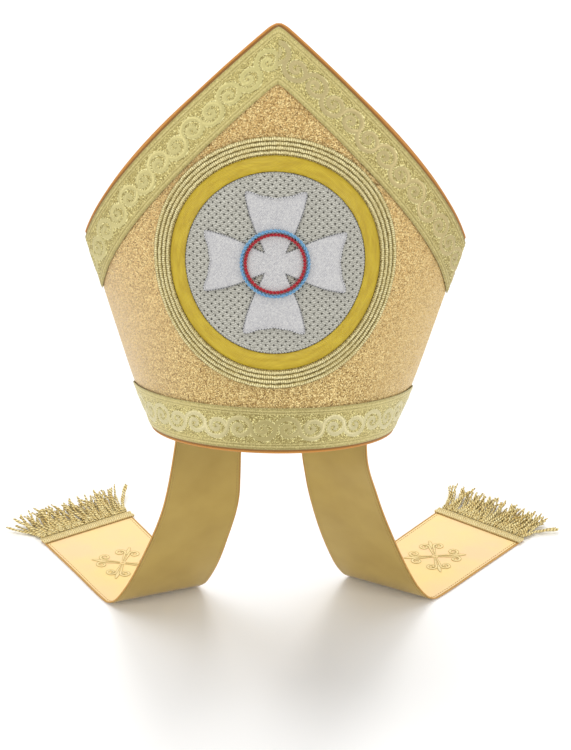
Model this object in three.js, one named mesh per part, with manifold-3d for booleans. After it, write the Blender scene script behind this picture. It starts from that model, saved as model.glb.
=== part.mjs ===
// A bishop's mitre: two stiff pointed panels joined at the sides, woven braid round the rim and
// along both upper edges, orange piping, an embroidered roundel, and two fringed lappets that hang
// from the back rim and lie out behind it. Millimetres, +Z up, the origin at the middle of the rim,
// the front towards -Y.

import * as THREE from "three";
import Module from "manifold-3d";

const wasm = await Module();
wasm.setup();

// driving sizes
const rimTilt = THREE.MathUtils.degToRad(14.5); // the rim sits lower at the back of the head
const forwardSlant = 0.086; // the body stands more upright than the rim, so it slants forward
const cornerHeight = 153.3; // up the side seam to the corner
const frontPeakHeight = 326.7; // up the middle of the panel to its point
const backPeakHeight = 312;
const archBow = 5; // how far each upper edge swells from a straight line
const wallThickness = 2;
const seamHalfGap = 0.15; // from the side seam plane to each panel
const gap = 0.3; // between pieces that lie on one another
const braidGap = 0.6; // under the wide braid, where flat facets meet at different places
const braidWidth = 32.4;
const braidThickness = 1;
const edgeInset = 0.7; // from a panel's edge to the braid
const archPipingRadius = 1.1;
const rimPipingRadius = 1;
const floorHeight = -228.3; // where the lappet ends lie

// the panel's shape, by height above the rim: half the width at the side seams, and how far
// the middle of the panel stands forward of the seams
const sections = [
  { height: -40, halfWidth: 82.5, bulge: 97 },
  { height: 0, halfWidth: 95.8, bulge: 94.4 },
  { height: 25, halfWidth: 106.4, bulge: 90.6 },
  { height: 84, halfWidth: 125.8, bulge: 81.8 },
  { height: 117, halfWidth: 136, bulge: 77.3 },
  { height: 153.3, halfWidth: 147.4, bulge: 72.5 },
  { height: 207, halfWidth: 160.4, bulge: 65.4 },
  { height: 267, halfWidth: 169.2, bulge: 57 },
  { height: 342, halfWidth: 174.2, bulge: 45 },
];

// a smooth curve through one column of a table, level where the column turns or runs flat
function readTable(rows, key, column, at) {
  let i = 1;
  while (i < rows.length - 1 && rows[i][key] < at) {
    i += 1;
  }
  const chordSlope = (k) => {
    const first = Math.min(Math.max(k, 0), rows.length - 2);
    const rise = rows[first + 1][column] - rows[first][column];
    return rise / (rows[first + 1][key] - rows[first][key]);
  };
  const slopeAt = (k) => {
    const before = chordSlope(k - 1);
    const after = chordSlope(k);
    return before * after > 0 ? (2 * before * after) / (before + after) : 0;
  };
  const start = rows[i - 1];
  const end = rows[i];
  const step = end[key] - start[key];
  const t = THREE.MathUtils.clamp((at - start[key]) / step, 0, 1);
  return (
    (2 * t ** 3 - 3 * t ** 2 + 1) * start[column] +
    (t ** 3 - 2 * t ** 2 + t) * step * slopeAt(i - 1) +
    (3 * t ** 2 - 2 * t ** 3) * end[column] +
    (t ** 3 - t ** 2) * step * slopeAt(i)
  );
}

function sectionAt(height) {
  const halfWidth = readTable(sections, "height", "halfWidth", height);
  const bulge = readTable(sections, "height", "bulge", height);
  const radius = (halfWidth ** 2 + bulge ** 2) / (2 * bulge);
  const halfLength = radius * 2 * Math.atan(bulge / halfWidth);
  return { bulge, radius, halfLength };
}

// a point of the flat pattern, bent round the head; facing is -1 for the front panel, 1 for the back
function bend(across, height, lift, facing) {
  const { bulge, radius } = sectionAt(height);
  const turn = across / radius;
  return new THREE.Vector3(
    (radius + lift) * Math.sin(turn),
    facing * ((radius + lift) * Math.cos(turn) - (radius - bulge)),
    height,
  );
}

// the upper edge in the flat pattern: along runs 0 at the corner to 1 at the point
const cornerAcross = sectionAt(cornerHeight).halfLength;
function makeArch(peakHeight) {
  const chord = Math.hypot(cornerAcross, peakHeight - cornerHeight);
  const radius = (chord ** 2 / 4 + archBow ** 2) / (2 * archBow);
  const outwardAcross = (peakHeight - cornerHeight) / chord;
  const outwardUp = cornerAcross / chord;
  const at = (along, inset) => {
    const turn = Math.asin(chord / 2 / radius) * (2 * along - 1);
    const reach = (radius - inset) * Math.cos(turn) - (radius - archBow);
    const slide = (radius - inset) * Math.sin(turn);
    return {
      across: cornerAcross / 2 + outwardAcross * reach - outwardUp * slide,
      height: (cornerHeight + peakHeight) / 2 + outwardUp * reach + outwardAcross * slide,
    };
  };
  return { chord, at };
}
const frontArch = makeArch(frontPeakHeight);
const backArch = makeArch(backPeakHeight);
const archOf = (facing) => (facing < 0 ? frontArch : backArch);

// solid building
function solidOf(points, faces) {
  const seen = new Map();
  const kept = [];
  const renumber = points.map((point) => {
    const key = point.toArray().map((value) => Math.round(value * 1e4)).join();
    if (!seen.has(key)) {
      seen.set(key, kept.length);
      kept.push(point);
    }
    return seen.get(key);
  });
  let volume = 0;
  const triangles = [];
  for (const face of faces) {
    const [a, b, c] = face.map((corner) => renumber[corner]);
    if (a !== b && b !== c && a !== c) {
      triangles.push([a, b, c]);
      volume += kept[a].dot(kept[b].clone().cross(kept[c]));
    }
  }
  const turned = volume < 0 ? triangles.map(([a, b, c]) => [a, c, b]) : triangles;
  return new wasm.Manifold(
    new wasm.Mesh({
      numProp: 3,
      vertProperties: new Float32Array(kept.flatMap((point) => point.toArray())),
      triVerts: new Uint32Array(turned.flat()),
    }),
  );
}

// a sheet with two faces; place(u, v, side) gives each point, side 0 beneath and 1 above
function sheet(columns, rows, place, closed = false) {
  const points = [];
  const stride = closed ? columns : columns + 1;
  for (const side of [0, 1]) {
    for (let j = 0; j <= rows; j += 1) {
      for (let i = 0; i < stride; i += 1) {
        points.push(place(i / columns, j / rows, side));
      }
    }
  }
  const at = (i, j, side) => (side * (rows + 1) + j) * stride + (closed ? i % columns : i);
  const faces = [];
  const quad = (a, b, c, d) => {
    faces.push([a, b, c]);
    faces.push([a, c, d]);
  };
  for (let i = 0; i < columns; i += 1) {
    for (let j = 0; j < rows; j += 1) {
      quad(at(i, j, 1), at(i + 1, j, 1), at(i + 1, j + 1, 1), at(i, j + 1, 1));
      quad(at(i, j, 0), at(i, j + 1, 0), at(i + 1, j + 1, 0), at(i + 1, j, 0));
    }
    quad(at(i, 0, 0), at(i + 1, 0, 0), at(i + 1, 0, 1), at(i, 0, 1));
    quad(at(i, rows, 1), at(i + 1, rows, 1), at(i + 1, rows, 0), at(i, rows, 0));
  }
  for (let j = 0; !closed && j < rows; j += 1) {
    quad(at(0, j, 1), at(0, j + 1, 1), at(0, j + 1, 0), at(0, j, 0));
    quad(at(columns, j, 0), at(columns, j + 1, 0), at(columns, j + 1, 1), at(columns, j, 1));
  }
  return solidOf(points, faces);
}

// a cord; place(t, turn) gives the skin at a distance along it and an angle round it
function cord(steps, sides, place, closed = false) {
  const points = [];
  const rings = closed ? steps : steps + 1;
  for (let i = 0; i < rings; i += 1) {
    for (let k = 0; k < sides; k += 1) {
      points.push(place(i / steps, (2 * Math.PI * k) / sides));
    }
  }
  const at = (i, k) => (i % rings) * sides + (k % sides);
  const faces = [];
  for (let i = 0; i < steps; i += 1) {
    for (let k = 0; k < sides; k += 1) {
      faces.push([at(i, k), at(i + 1, k), at(i + 1, k + 1)]);
      faces.push([at(i, k), at(i + 1, k + 1), at(i, k + 1)]);
    }
  }
  for (let k = 1; !closed && k < sides - 1; k += 1) {
    faces.push([at(0, 0), at(0, k), at(0, k + 1)]);
    faces.push([at(steps, 0), at(steps, k + 1), at(steps, k)]);
  }
  return solidOf(points, faces);
}

// materials
const cloth = (color, roughness, metalness) =>
  new THREE.MeshStandardMaterial({ color, roughness, metalness, side: THREE.DoubleSide });
const brocade = cloth("#d8b276", 0.55, 0.2);
const braid = cloth("#cfc177", 0.5, 0.3);
const orangeSatin = cloth("#dd9a3c", 0.5, 0);
const liningSatin = cloth("#bd9c4e", 0.6, 0);
const paleBrocade = cloth("#ecca80", 0.6, 0.1);
const goldThread = cloth("#b39a5c", 0.45, 0.4);
const yellowSatin = cloth("#e6c423", 0.45, 0);
const silverThread = cloth("#c4c3b4", 0.5, 0.2);
const whiteSatin = cloth("#d9d6dc", 0.5, 0);
const redThread = cloth("#b81e2c", 0.5, 0);
const blueThread = cloth("#6fa8cf", 0.5, 0);

const group = new THREE.Group();
group.name = "bishop_mitre";
const mitre = new THREE.Group();
mitre.name = "mitre";
mitre.rotation.x = -rimTilt;
group.add(mitre);

function addPiece(parent, name, shape, material) {
  const slant = (vertex) => {
    vertex[1] -= forwardSlant * vertex[2];
  };
  const solid = parent === mitre ? shape.warp(slant) : shape;
  const { numProp, vertProperties, triVerts } = solid.getMesh();
  const positions = new Float32Array((vertProperties.length / numProp) * 3);
  for (let i = 0; i < positions.length / 3; i += 1) {
    positions.set(vertProperties.slice(i * numProp, i * numProp + 3), i * 3);
  }
  const geometry = new THREE.BufferGeometry();
  geometry.setAttribute("position", new THREE.BufferAttribute(positions, 3));
  geometry.setIndex(new THREE.BufferAttribute(new Uint32Array(triVerts), 1));
  geometry.computeVertexNormals();
  const mesh = new THREE.Mesh(geometry, material);
  mesh.name = name;
  parent.add(mesh);
}

// everything of a panel stops at the side seam
const upToSeam = (solid, facing) => solid.trimByPlane([0, facing, 0], seamHalfGap);
const seamOverrun = 2.2;

// front and back panels; the first rows match the braid's, and the rest share out the height
const panelColumns = 24;
const bandRows = 2;
const bandTop = edgeInset + braidWidth;
const upperRows = 6;
function panel(facing) {
  const arch = archOf(facing);
  const rows = bandRows + upperRows;
  const solid = sheet(panelColumns, rows, (u, v, side) => {
    const handed = Math.sign(u - 0.5) || 1;
    const along = 1 - Math.abs(2 * u - 1) * (1 + seamOverrun / arch.chord);
    const top = arch.at(along, 0);
    const row = Math.round(v * rows);
    const above = Math.max(row - bandRows, 0) / upperRows;
    const height = (bandTop * Math.min(row, bandRows)) / bandRows + (top.height - bandTop) * above;
    const { halfLength } = sectionAt(Math.min(height, cornerHeight));
    const across = (handed * top.across * halfLength) / cornerAcross;
    return bend(across, height, (side - 0.5) * wallThickness, facing);
  });
  return upToSeam(solid, facing);
}

// braid laid on the panel
const braidLift = wallThickness / 2 + braidGap;
function rimBand(facing) {
  const solid = sheet(panelColumns, bandRows, (u, v, side) => {
    const height = edgeInset + braidWidth * v;
    const across = (2 * u - 1) * (sectionAt(height).halfLength + seamOverrun);
    return bend(across, height, braidLift + braidThickness * side, facing);
  });
  return upToSeam(solid, facing);
}

// the braid up an edge runs on past the point and the corner, as shares of the edge, to be cut there
const archColumns = 18;
const archRows = 2;
const overrunAtPoint = 0.16;
const overrunAtCorner = 0.2;
function archBand(facing, handed) {
  const solid = sheet(archColumns, archRows, (u, v, side) => {
    const along = -overrunAtCorner + (1 + overrunAtPoint + overrunAtCorner) * u;
    const { across, height } = archOf(facing).at(along, edgeInset + braidWidth * v);
    return bend(handed * across, height, braidLift + braidThickness * side, facing);
  });
  return upToSeam(solid, facing).trimByPlane([handed, 0, 0], seamHalfGap);
}

// piping along both upper edges of a panel, blunt at the point
const archPipingSteps = 24;
const archPipingSides = 6;
const pastCorner = 0.012; // as a share of the edge
const bluntness = 1.15; // how far the piping stands up at the point, over its height elsewhere
function archPiping(facing) {
  const rise = gap + archPipingRadius;
  const solid = cord(archPipingSteps, archPipingSides, (t, turn) => {
    const handed = Math.sign(t - 0.5) || 1;
    const along = 1 - Math.abs(2 * t - 1) * (1 + pastCorner);
    const onEdge = archOf(facing).at(along, 0);
    const outside = archOf(facing).at(along, -1);
    const atPoint = t === 0.5;
    const sideways = atPoint ? 0 : handed * (outside.across - onEdge.across);
    const upwards = atPoint ? bluntness : outside.height - onEdge.height;
    const reach = rise + archPipingRadius * Math.cos(turn);
    return bend(
      handed * onEdge.across + sideways * reach,
      onEdge.height + upwards * reach,
      gap / 2 + archPipingRadius * Math.sin(turn),
      facing,
    );
  });
  return upToSeam(solid, facing);
}

const rimPipingLift = 0.6; // towards the braid, to sit under both cloth and braid
const rimPipingSteps = 48;
const rimPipingSides = 5;
function rimPiping() {
  const { halfLength } = sectionAt(0);
  return cord(
    rimPipingSteps,
    rimPipingSides,
    (t, turn) => {
      const facing = t < 0.5 ? -1 : 1;
      const across = (4 * (t % 0.5) - 1) * halfLength * -facing;
      const height = -gap - rimPipingRadius + rimPipingRadius * Math.cos(turn);
      return bend(across, height, rimPipingLift + rimPipingRadius * Math.sin(turn), facing);
    },
    true,
  );
}

// the soft lining between the two points: a valley from corner to corner
const liningThickness = 1;
const valleyHeight = 124.7;
const liningGap = 0.7;
const liningBelowEdge = 1.5;
const cornerHalfWidth = 147.4;
const liningReach = 0.94; // how near it comes to the corners, as a share of the way
const liningSteepness = 1.7;
const liningColumns = 18;
const liningRows = 10;
function crownLining() {
  return sheet(liningColumns, liningRows, (u, v, side) => {
    const handed = Math.sign(u - 0.5) || 1;
    const along = 1 - Math.abs(2 * u - 1) * liningReach;
    const facing = v < 0.5 ? -1 : 1;
    const edge = archOf(facing).at(along, liningBelowEdge);
    const top = bend(handed * edge.across, edge.height, -wallThickness / 2 - liningGap, facing);
    const share = Math.min((top.x / cornerHalfWidth) ** 2, 1);
    const valley = valleyHeight + (cornerHeight - valleyHeight) * share;
    const slide = Math.abs(2 * v - 1);
    const climb = top.z - valley;
    const slope =
      (liningSteepness * climb * slide ** (liningSteepness - 1)) / Math.abs(top.y);
    const tip = Math.atan(slope);
    const inward = side * liningThickness;
    return new THREE.Vector3(
      top.x,
      top.y * slide - facing * inward * Math.sin(tip),
      valley + climb * slide ** liningSteepness + inward * Math.cos(tip) - liningThickness,
    );
  });
}

for (const [name, facing] of [
  ["front", -1],
  ["back", 1],
]) {
  addPiece(mitre, `${name}_panel`, panel(facing), brocade);
  addPiece(mitre, `band_${name}`, rimBand(facing), braid);
  addPiece(mitre, `trim_${name}_left`, archBand(facing, -1), braid);
  addPiece(mitre, `trim_${name}_right`, archBand(facing, 1), braid);
  addPiece(mitre, `piping_${name}`, archPiping(facing), orangeSatin);
}
addPiece(mitre, "rim_piping", rimPiping(), orangeSatin);
addPiece(mitre, "crown_lining", crownLining(), liningSatin);

// the roundel embroidered on the front panel: each piece's radii, and how far its under and
// upper faces stand off the middle of the panel's wall
const roundelHeight = 145;
const roundel = {
  disc: { inner: 0, outer: 69.5, low: 1.6, high: 2.2 },
  yellowRing: { inner: 69.9, outer: 82.3, low: 1.6, high: 2.7 },
  goldRing: { inner: 82.7, outer: 96.5, low: 1.6, high: 3.5 },
  redCord: { inner: 20.8, outer: 23.5, low: 4.3, high: 5.8 },
  blueCord: { inner: 23.8, outer: 26.5, low: 4.3, high: 5.8 },
};
const crossLow = 3;
const crossHigh = 3.8;
function onRoundel(turn, radius, lift) {
  return bend(radius * Math.sin(turn), roundelHeight + radius * Math.cos(turn), lift, -1);
}
function roundelPiece({ inner, outer, low, high }, columns, rows = 1) {
  return sheet(
    columns,
    rows,
    (u, v, side) =>
      onRoundel(2 * Math.PI * u, inner + (outer - inner) * v, low + (high - low) * side),
    true,
  );
}

// half of one arm of a cross, as directions from the centre and how far out the edge is
const crossOutline = [
  { degrees: 0, reach: 49 },
  { degrees: 12, reach: 52 },
  { degrees: 23, reach: 58.2 },
  { degrees: 27, reach: 47 },
  { degrees: 32, reach: 29 },
  { degrees: 38, reach: 15.6 },
  { degrees: 45, reach: 11 },
];
const crossTip = 58.2; // the farthest of them
const crossStops = [0, 12, 23, 27, 32, 38, 45, 52, 58, 63, 67, 78];
function crossRadius(reachScale) {
  return (turn, v) => {
    const folded = Math.abs(((THREE.MathUtils.radToDeg(turn) + 45) % 90) - 45);
    return v * reachScale * readTable(crossOutline, "degrees", "reach", folded);
  };
}
// the angles of the cross are uneven, so the fan is stepped by its own table
function crossTurn(u) {
  const step = Math.round(u * crossStops.length * 4);
  const quarter = Math.floor(step / crossStops.length);
  return THREE.MathUtils.degToRad(90 * quarter + crossStops[step % crossStops.length]);
}
function frontCross() {
  return sheet(
    crossStops.length * 4,
    2,
    (u, v, side) => {
      const turn = crossTurn(u);
      return onRoundel(turn, crossRadius(1)(turn, v), side ? crossHigh : crossLow);
    },
    true,
  );
}
addPiece(mitre, "emblem_disc", roundelPiece(roundel.disc, 30, 4), silverThread);
addPiece(mitre, "emblem_ring_yellow", roundelPiece(roundel.yellowRing, 36), yellowSatin);
addPiece(mitre, "emblem_ring_gold", roundelPiece(roundel.goldRing, 40), goldThread);
addPiece(mitre, "emblem_cross", frontCross(), whiteSatin);
addPiece(mitre, "emblem_cord_red", roundelPiece(roundel.redCord, 24), redThread);
addPiece(mitre, "emblem_cord_blue", roundelPiece(roundel.blueCord, 24), blueThread);

// lappets. Each row places the strip at a height above the floor: its outer edge in plan, the
// turn of its width from the X axis and that width, how far the inner edge dips below the outer
// one, and how far the middle bows out behind a straight line between them.
const clothThickness = 1.6;
const restHeight = clothThickness / 2 + 0.1; // of the cloth's middle, just off the floor
const lappetTables = {
  left: [
    { above: 182, outX: 78.3, outY: 51, turn: 33, width: 61, dip: 7, bow: 4 },
    { above: 126.5, outX: 87, outY: 53.3, turn: 26, width: 66, dip: 2, bow: 2 },
    { above: 62.5, outX: 107.6, outY: 66, turn: 23, width: 74, dip: 0, bow: 0 },
    { above: 13, outX: 129, outY: 86, turn: 23, width: 80, dip: 0, bow: 0 },
    { above: 5, outX: 134.7, outY: 92.8, turn: 23, width: 81, dip: 0, bow: 0 },
    { above: restHeight, outX: 141, outY: 101.3, turn: 23.5, width: 82, dip: 0, bow: 0 },
    { above: restHeight, outX: 171, outY: 151.6, turn: 30, width: 85.5, dip: 0, bow: 0 },
    { above: restHeight, outX: 202.6, outY: 204.1, turn: 35, width: 88.5, dip: 0, bow: 0 },
  ],
  right: [
    { above: 174, outX: 76.8, outY: 51, turn: 33, width: 61, dip: 6, bow: 4 },
    { above: 128.5, outX: 87, outY: 64, turn: 30, width: 66, dip: 2, bow: 2 },
    { above: 76.7, outX: 103.4, outY: 80.2, turn: 28, width: 72, dip: 0, bow: 0 },
    { above: 27.4, outX: 123, outY: 96.2, turn: 28, width: 77, dip: 0, bow: 0 },
    { above: 12.1, outX: 131.4, outY: 103.5, turn: 28, width: 79, dip: 0, bow: 0 },
    { above: 4.4, outX: 137.5, outY: 109, turn: 28, width: 80.5, dip: 0, bow: 0 },
    { above: restHeight, outX: 144, outY: 115.5, turn: 28, width: 81.5, dip: 0, bow: 0 },
    { above: restHeight, outX: 184, outY: 166, turn: 33, width: 85, dip: 0, bow: 0 },
    { above: restHeight, outX: 224.5, outY: 218.5, turn: 37, width: 87, dip: 0, bow: 0 },
  ],
};

// the top of a lappet follows the inside of the back panel
const sewnFrom = 91.5; // round the back panel to the lappet's outer edge
const sewnTo = 30;
const sewnBehind = 0.75; // between the panel and the lappet
const sewnLift = -wallThickness / 2 - sewnBehind - clothThickness / 2;
const sewnHeights = [12, 2, -7];
const sewnBow = 4.7;
function sewnStations(handed) {
  return sewnHeights.map((height) => {
    const [outer, inner] = [sewnFrom, sewnTo].map((across) => {
      const point = bend(handed * across, height, sewnLift, 1);
      point.y -= forwardSlant * height;
      return point.applyAxisAngle(new THREE.Vector3(1, 0, 0), -rimTilt);
    });
    return { outer, inner, bow: sewnBow };
  });
}

function hangingStations(rows, handed) {
  return rows.map(({ above, outX, outY, turn, width, dip, bow }) => {
    const angle = THREE.MathUtils.degToRad(turn);
    const outer = new THREE.Vector3(handed * outX, outY, floorHeight + above);
    const across = new THREE.Vector3(-handed * Math.cos(angle), Math.sin(angle), 0);
    const inner = outer.clone().addScaledVector(across, width);
    inner.z -= dip;
    return { outer, inner, bow };
  });
}

// a lappet read by distance: along in millimetres from its top, across 0 outer edge to 1 inner edge
function lappetSurface(name) {
  const handed = name === "left" ? -1 : 1;
  const table = [...sewnStations(handed), ...hangingStations(lappetTables[name], handed)];
  let distance = 0;
  let before = null;
  const stations = table.map(({ outer, inner, bow }) => {
    const middle = outer.clone().lerp(inner, 0.5);
    distance += before ? middle.distanceTo(before) : 0;
    before = middle;
    const [outX, outY, outZ] = outer.toArray();
    const [inX, inY, inZ] = inner.toArray();
    return { distance, outX, outY, outZ, inX, inY, inZ, bow };
  });
  const read = (column, along) => readTable(stations, "distance", column, along);
  const edges = (along) => [
    new THREE.Vector3(read("outX", along), read("outY", along), read("outZ", along)),
    new THREE.Vector3(read("inX", along), read("inY", along), read("inZ", along)),
  ];
  const middlePoint = (along, across) => {
    const [outer, inner] = edges(along);
    const behind = new THREE.Vector3(inner.y - outer.y, outer.x - inner.x, 0).normalize();
    const bowed = handed * read("bow", along) * 4 * across * (1 - across);
    return outer.lerp(inner, across).addScaledVector(behind, bowed);
  };
  const probe = 0.5; // millimetres along, to find the cloth's direction
  const nearby = 0.01; // share of the width, for the same
  return {
    length: distance,
    handed,
    widthAt(along) {
      const [outer, inner] = edges(along);
      return outer.distanceTo(inner);
    },
    place(along, across, lift) {
      const run = middlePoint(Math.min(along + probe, distance), across);
      run.sub(middlePoint(Math.max(along - probe, 0), across));
      const span = middlePoint(along, across + nearby).sub(middlePoint(along, across - nearby));
      const normal = run.cross(span).multiplyScalar(handed).normalize();
      return middlePoint(along, across).addScaledVector(normal, lift);
    },
  };
}

const sewnIn = 18; // the piping starts this far down, below the rim
const edgePipingRadius = 1;
const edgePipingRise = 0.4; // as a share of the radius, so that it rests level with the cloth
const edgePipingSteps = 26;
const edgePipingSides = 5;
const lappetRows = 28;
const lappetColumns = 4;

function lappetSheet(surface) {
  return sheet(lappetRows, lappetColumns, (u, v, side) => {
    return surface.place(u * surface.length, v, (side - 0.5) * clothThickness);
  });
}

function lappetPiping(surface, across) {
  const outwards = across === 0 ? -1 : 1;
  return cord(edgePipingSteps, edgePipingSides, (t, turn) => {
    const along = sewnIn + (surface.length - sewnIn) * t;
    const reach = gap + edgePipingRadius + edgePipingRadius * Math.cos(turn);
    const lift = edgePipingRadius * (edgePipingRise + Math.sin(turn));
    return surface.place(along, across + (outwards * reach) / surface.widthAt(along), lift);
  });
}

// directions on the floor at the end of a lappet
function lappetEnd(surface) {
  const outer = surface.place(surface.length, 0, 0);
  const inner = surface.place(surface.length, 1, 0);
  const alongEnd = inner.clone().sub(outer);
  const width = alongEnd.length();
  alongEnd.normalize();
  const onward = new THREE.Vector3(-alongEnd.y, alongEnd.x, 0).multiplyScalar(surface.handed * -1);
  return { outer, alongEnd, onward, width };
}

// narrow braid over the end of the cloth and its piping, thicker along its middle
const headingWidth = 8;
const headingOverhang = 2.5;
const headingLift = 1.7; // clear of the piping
const headingEdge = 1.2; // thick
const headingCrown = 1.8;
function heading(surface) {
  const { outer, alongEnd, onward, width } = lappetEnd(surface);
  const low = clothThickness / 2 + headingLift;
  return sheet(6, 2, (u, v, side) => {
    const thick = v === 0.5 ? headingCrown : headingEdge;
    return outer
      .clone()
      .addScaledVector(alongEnd, -headingOverhang + (width + 2 * headingOverhang) * u)
      .addScaledVector(onward, -headingWidth * (1 - v))
      .add(new THREE.Vector3(0, 0, low + thick * side));
  });
}

// fringe: a head strip with locks of twisted thread fused to it, fanned and lifting a little
const fringeLength = 36;
const fringeHead = { depth: 4, low: -0.8, thickness: 2.4 };
const lockCount = 16;
const lock = { start: 2, low: -0.7, thickness: 2, share: 0.42, narrowing: 0.35, thinning: 0.3 };
const lockFan = 0.5; // sideways per length, from one side of the lappet to the other
const lockStray = { fan: 0.09, length: 0.08, lift: 4 }; // how far single locks wander
const lockLift = 5; // at the tips
function fringe(surface) {
  const { outer, alongEnd, onward, width } = lappetEnd(surface);
  const at = (sideways, out, up) =>
    outer
      .clone()
      .addScaledVector(alongEnd, sideways)
      .addScaledVector(onward, gap + out)
      .add(new THREE.Vector3(0, 0, up));
  let solid = sheet(1, 1, (u, v, side) =>
    at(width * u, fringeHead.depth * v, fringeHead.low + fringeHead.thickness * side),
  );
  for (let i = 0; i < lockCount; i += 1) {
    const share = (i + 0.5) / lockCount;
    const fan = (share - 0.5) * lockFan + lockStray.fan * Math.sin(i * 2.3);
    const length = fringeLength * (1 + lockStray.length * Math.sin(i * 1.7));
    const lift = lockLift + lockStray.lift * Math.sin(i * 1.1);
    const halfWidth = (width / lockCount) * lock.share;
    const tuft = sheet(1, 3, (u, v, side) => {
      const sideways = (2 * u - 1) * halfWidth * (1 - lock.narrowing * v) + fan * length * v;
      const thick = lock.thickness * side * (1 - lock.thinning * v);
      return at(width * share + sideways, lock.start + length * v, lock.low + thick + lift * v ** 2);
    });
    solid = solid.add(tuft);
  }
  return solid;
}

const lappetCrossReach = 29;
const lappetCrossThickness = 0.7;
const crossFromEnd = 74;
function lappetCross(surface) {
  const centreAlong = surface.length - crossFromEnd;
  const centre = surface.place(centreAlong, 0.5, clothThickness / 2 + gap);
  const { alongEnd, onward } = lappetEnd(surface);
  return sheet(
    crossStops.length * 4,
    1,
    (u, v, side) => {
      const turn = crossTurn(u);
      const radius = crossRadius(lappetCrossReach / crossTip)(turn, v);
      return centre
        .clone()
        .addScaledVector(alongEnd, radius * Math.sin(turn))
        .addScaledVector(onward, radius * Math.cos(turn))
        .add(new THREE.Vector3(0, 0, lappetCrossThickness * side));
    },
    true,
  );
}

for (const name of Object.keys(lappetTables)) {
  const surface = lappetSurface(name);
  addPiece(group, `lappet_${name}`, lappetSheet(surface), paleBrocade);
  addPiece(group, `lappet_${name}_piping_outer`, lappetPiping(surface, 0), orangeSatin);
  addPiece(group, `lappet_${name}_piping_inner`, lappetPiping(surface, 1), orangeSatin);
  addPiece(group, `lappet_${name}_heading`, heading(surface), goldThread);
  addPiece(group, `lappet_${name}_fringe`, fringe(surface), goldThread);
  addPiece(group, `lappet_${name}_cross`, lappetCross(surface), goldThread);
}

export default group;
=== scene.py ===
import bisect
import math
import random
from functools import partial

import bmesh
import bpy
from mathutils import Matrix, Vector, noise


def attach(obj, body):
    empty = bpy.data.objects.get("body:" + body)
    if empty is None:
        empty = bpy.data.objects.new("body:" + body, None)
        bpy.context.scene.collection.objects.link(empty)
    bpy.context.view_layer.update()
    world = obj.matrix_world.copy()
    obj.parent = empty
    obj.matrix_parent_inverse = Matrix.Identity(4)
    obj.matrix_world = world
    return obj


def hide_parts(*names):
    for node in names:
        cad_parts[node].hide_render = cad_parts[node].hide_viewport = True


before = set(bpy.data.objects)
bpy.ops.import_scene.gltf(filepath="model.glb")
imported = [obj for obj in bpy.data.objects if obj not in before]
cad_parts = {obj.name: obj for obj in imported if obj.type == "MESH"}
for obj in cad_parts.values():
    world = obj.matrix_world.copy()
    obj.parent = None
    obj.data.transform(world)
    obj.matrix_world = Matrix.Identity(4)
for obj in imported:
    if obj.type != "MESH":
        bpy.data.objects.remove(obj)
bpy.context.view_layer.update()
print("frame loaded")

# camera and studio

cameraSettings = {
    "place": (0, -2.2005, 1.142),
    "down": 26.539,  # degrees
    "pan": 0.2516,
    "roll": 1.0177,
    "lens": 148.99,
}


def placeCamera():
    down, pan, roll = (math.radians(cameraSettings[key]) for key in ("down", "pan", "roll"))
    turn = Matrix.Rotation(-pan, 3, "Z")
    forward = turn @ Matrix.Rotation(-down, 3, "X") @ Vector((0, 1, 0))
    right = turn @ Vector((1, 0, 0))
    up = right.cross(forward)
    across = math.cos(roll) * right + math.sin(roll) * up
    upright = math.cos(roll) * up - math.sin(roll) * right
    data = bpy.data.cameras.new("camera")
    data.lens = cameraSettings["lens"]
    data.sensor_width = 36
    camera = bpy.data.objects.new("camera", data)
    bpy.context.collection.objects.link(camera)
    camera.matrix_world = (
        Matrix.Translation(cameraSettings["place"])
        @ Matrix((across, upright, -forward)).transposed().to_4x4()
    )
    bpy.context.scene.camera = camera


studio = {
    "floorHeight": -0.2283,
    "floorRadius": 14,
    "floorColour": (0.97, 0.97, 0.965, 1),
    "worldColour": (1, 1, 1, 1),
    "worldStrength": 0.68,
    # name: place, aim, size, power, colour
    "lights": {
        "overhead": ((-0.3, 0.1, 2.7), (0, 0.1, 0), 2.0, 31, (1, 1, 1)),
        "softLeft": ((-2.5, -1.7, 1.0), (0, 0, 0.1), 1.0, 17.5, (1, 0.985, 0.96)),
        "softRight": ((2.6, -1.6, 1.0), (0, 0, 0.1), 1.0, 19, (1, 0.985, 0.96)),
        "behind": ((0.2, 2.3, 1.9), (0, 0, -0.1), 1.0, 20, (1, 1, 1)),
    },
}


def lightStudio():
    scene = bpy.context.scene
    scene.view_settings.view_transform = "Standard"
    world = bpy.data.worlds.new("studio")
    world.use_nodes = True
    background = world.node_tree.nodes["Background"]
    background.inputs["Color"].default_value = studio["worldColour"]
    background.inputs["Strength"].default_value = studio["worldStrength"]
    scene.world = world
    for name, (place, aim, size, power, colour) in studio["lights"].items():
        data = bpy.data.lights.new(name, "AREA")
        data.shape = "DISK"
        data.size = size
        data.energy = power
        data.color = colour
        light = bpy.data.objects.new(name, data)
        light.location = place
        light.rotation_euler = (Vector(aim) - Vector(place)).to_track_quat("-Z", "Y").to_euler()
        bpy.context.collection.objects.link(light)

    bm = bmesh.new()
    bmesh.ops.create_circle(bm, cap_ends=True, segments=96, radius=studio["floorRadius"])
    bmesh.ops.translate(bm, vec=(0, 0, studio["floorHeight"]), verts=bm.verts[:])
    mesh = bpy.data.meshes.new("floor")
    bm.to_mesh(mesh)
    bm.free()
    finish, shader = startFinish("paleFloor", **{"Roughness": 0.75, "Specular IOR Level": 0.2})
    shader.inputs["Base Color"].default_value = studio["floorColour"]
    mesh.materials.append(finish)
    floor = bpy.data.objects.new("floor", mesh)
    bpy.context.collection.objects.link(floor)


# materials

bandScale = 0.314  # Scale of a wave texture whose bands are one millimetre apart


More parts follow.
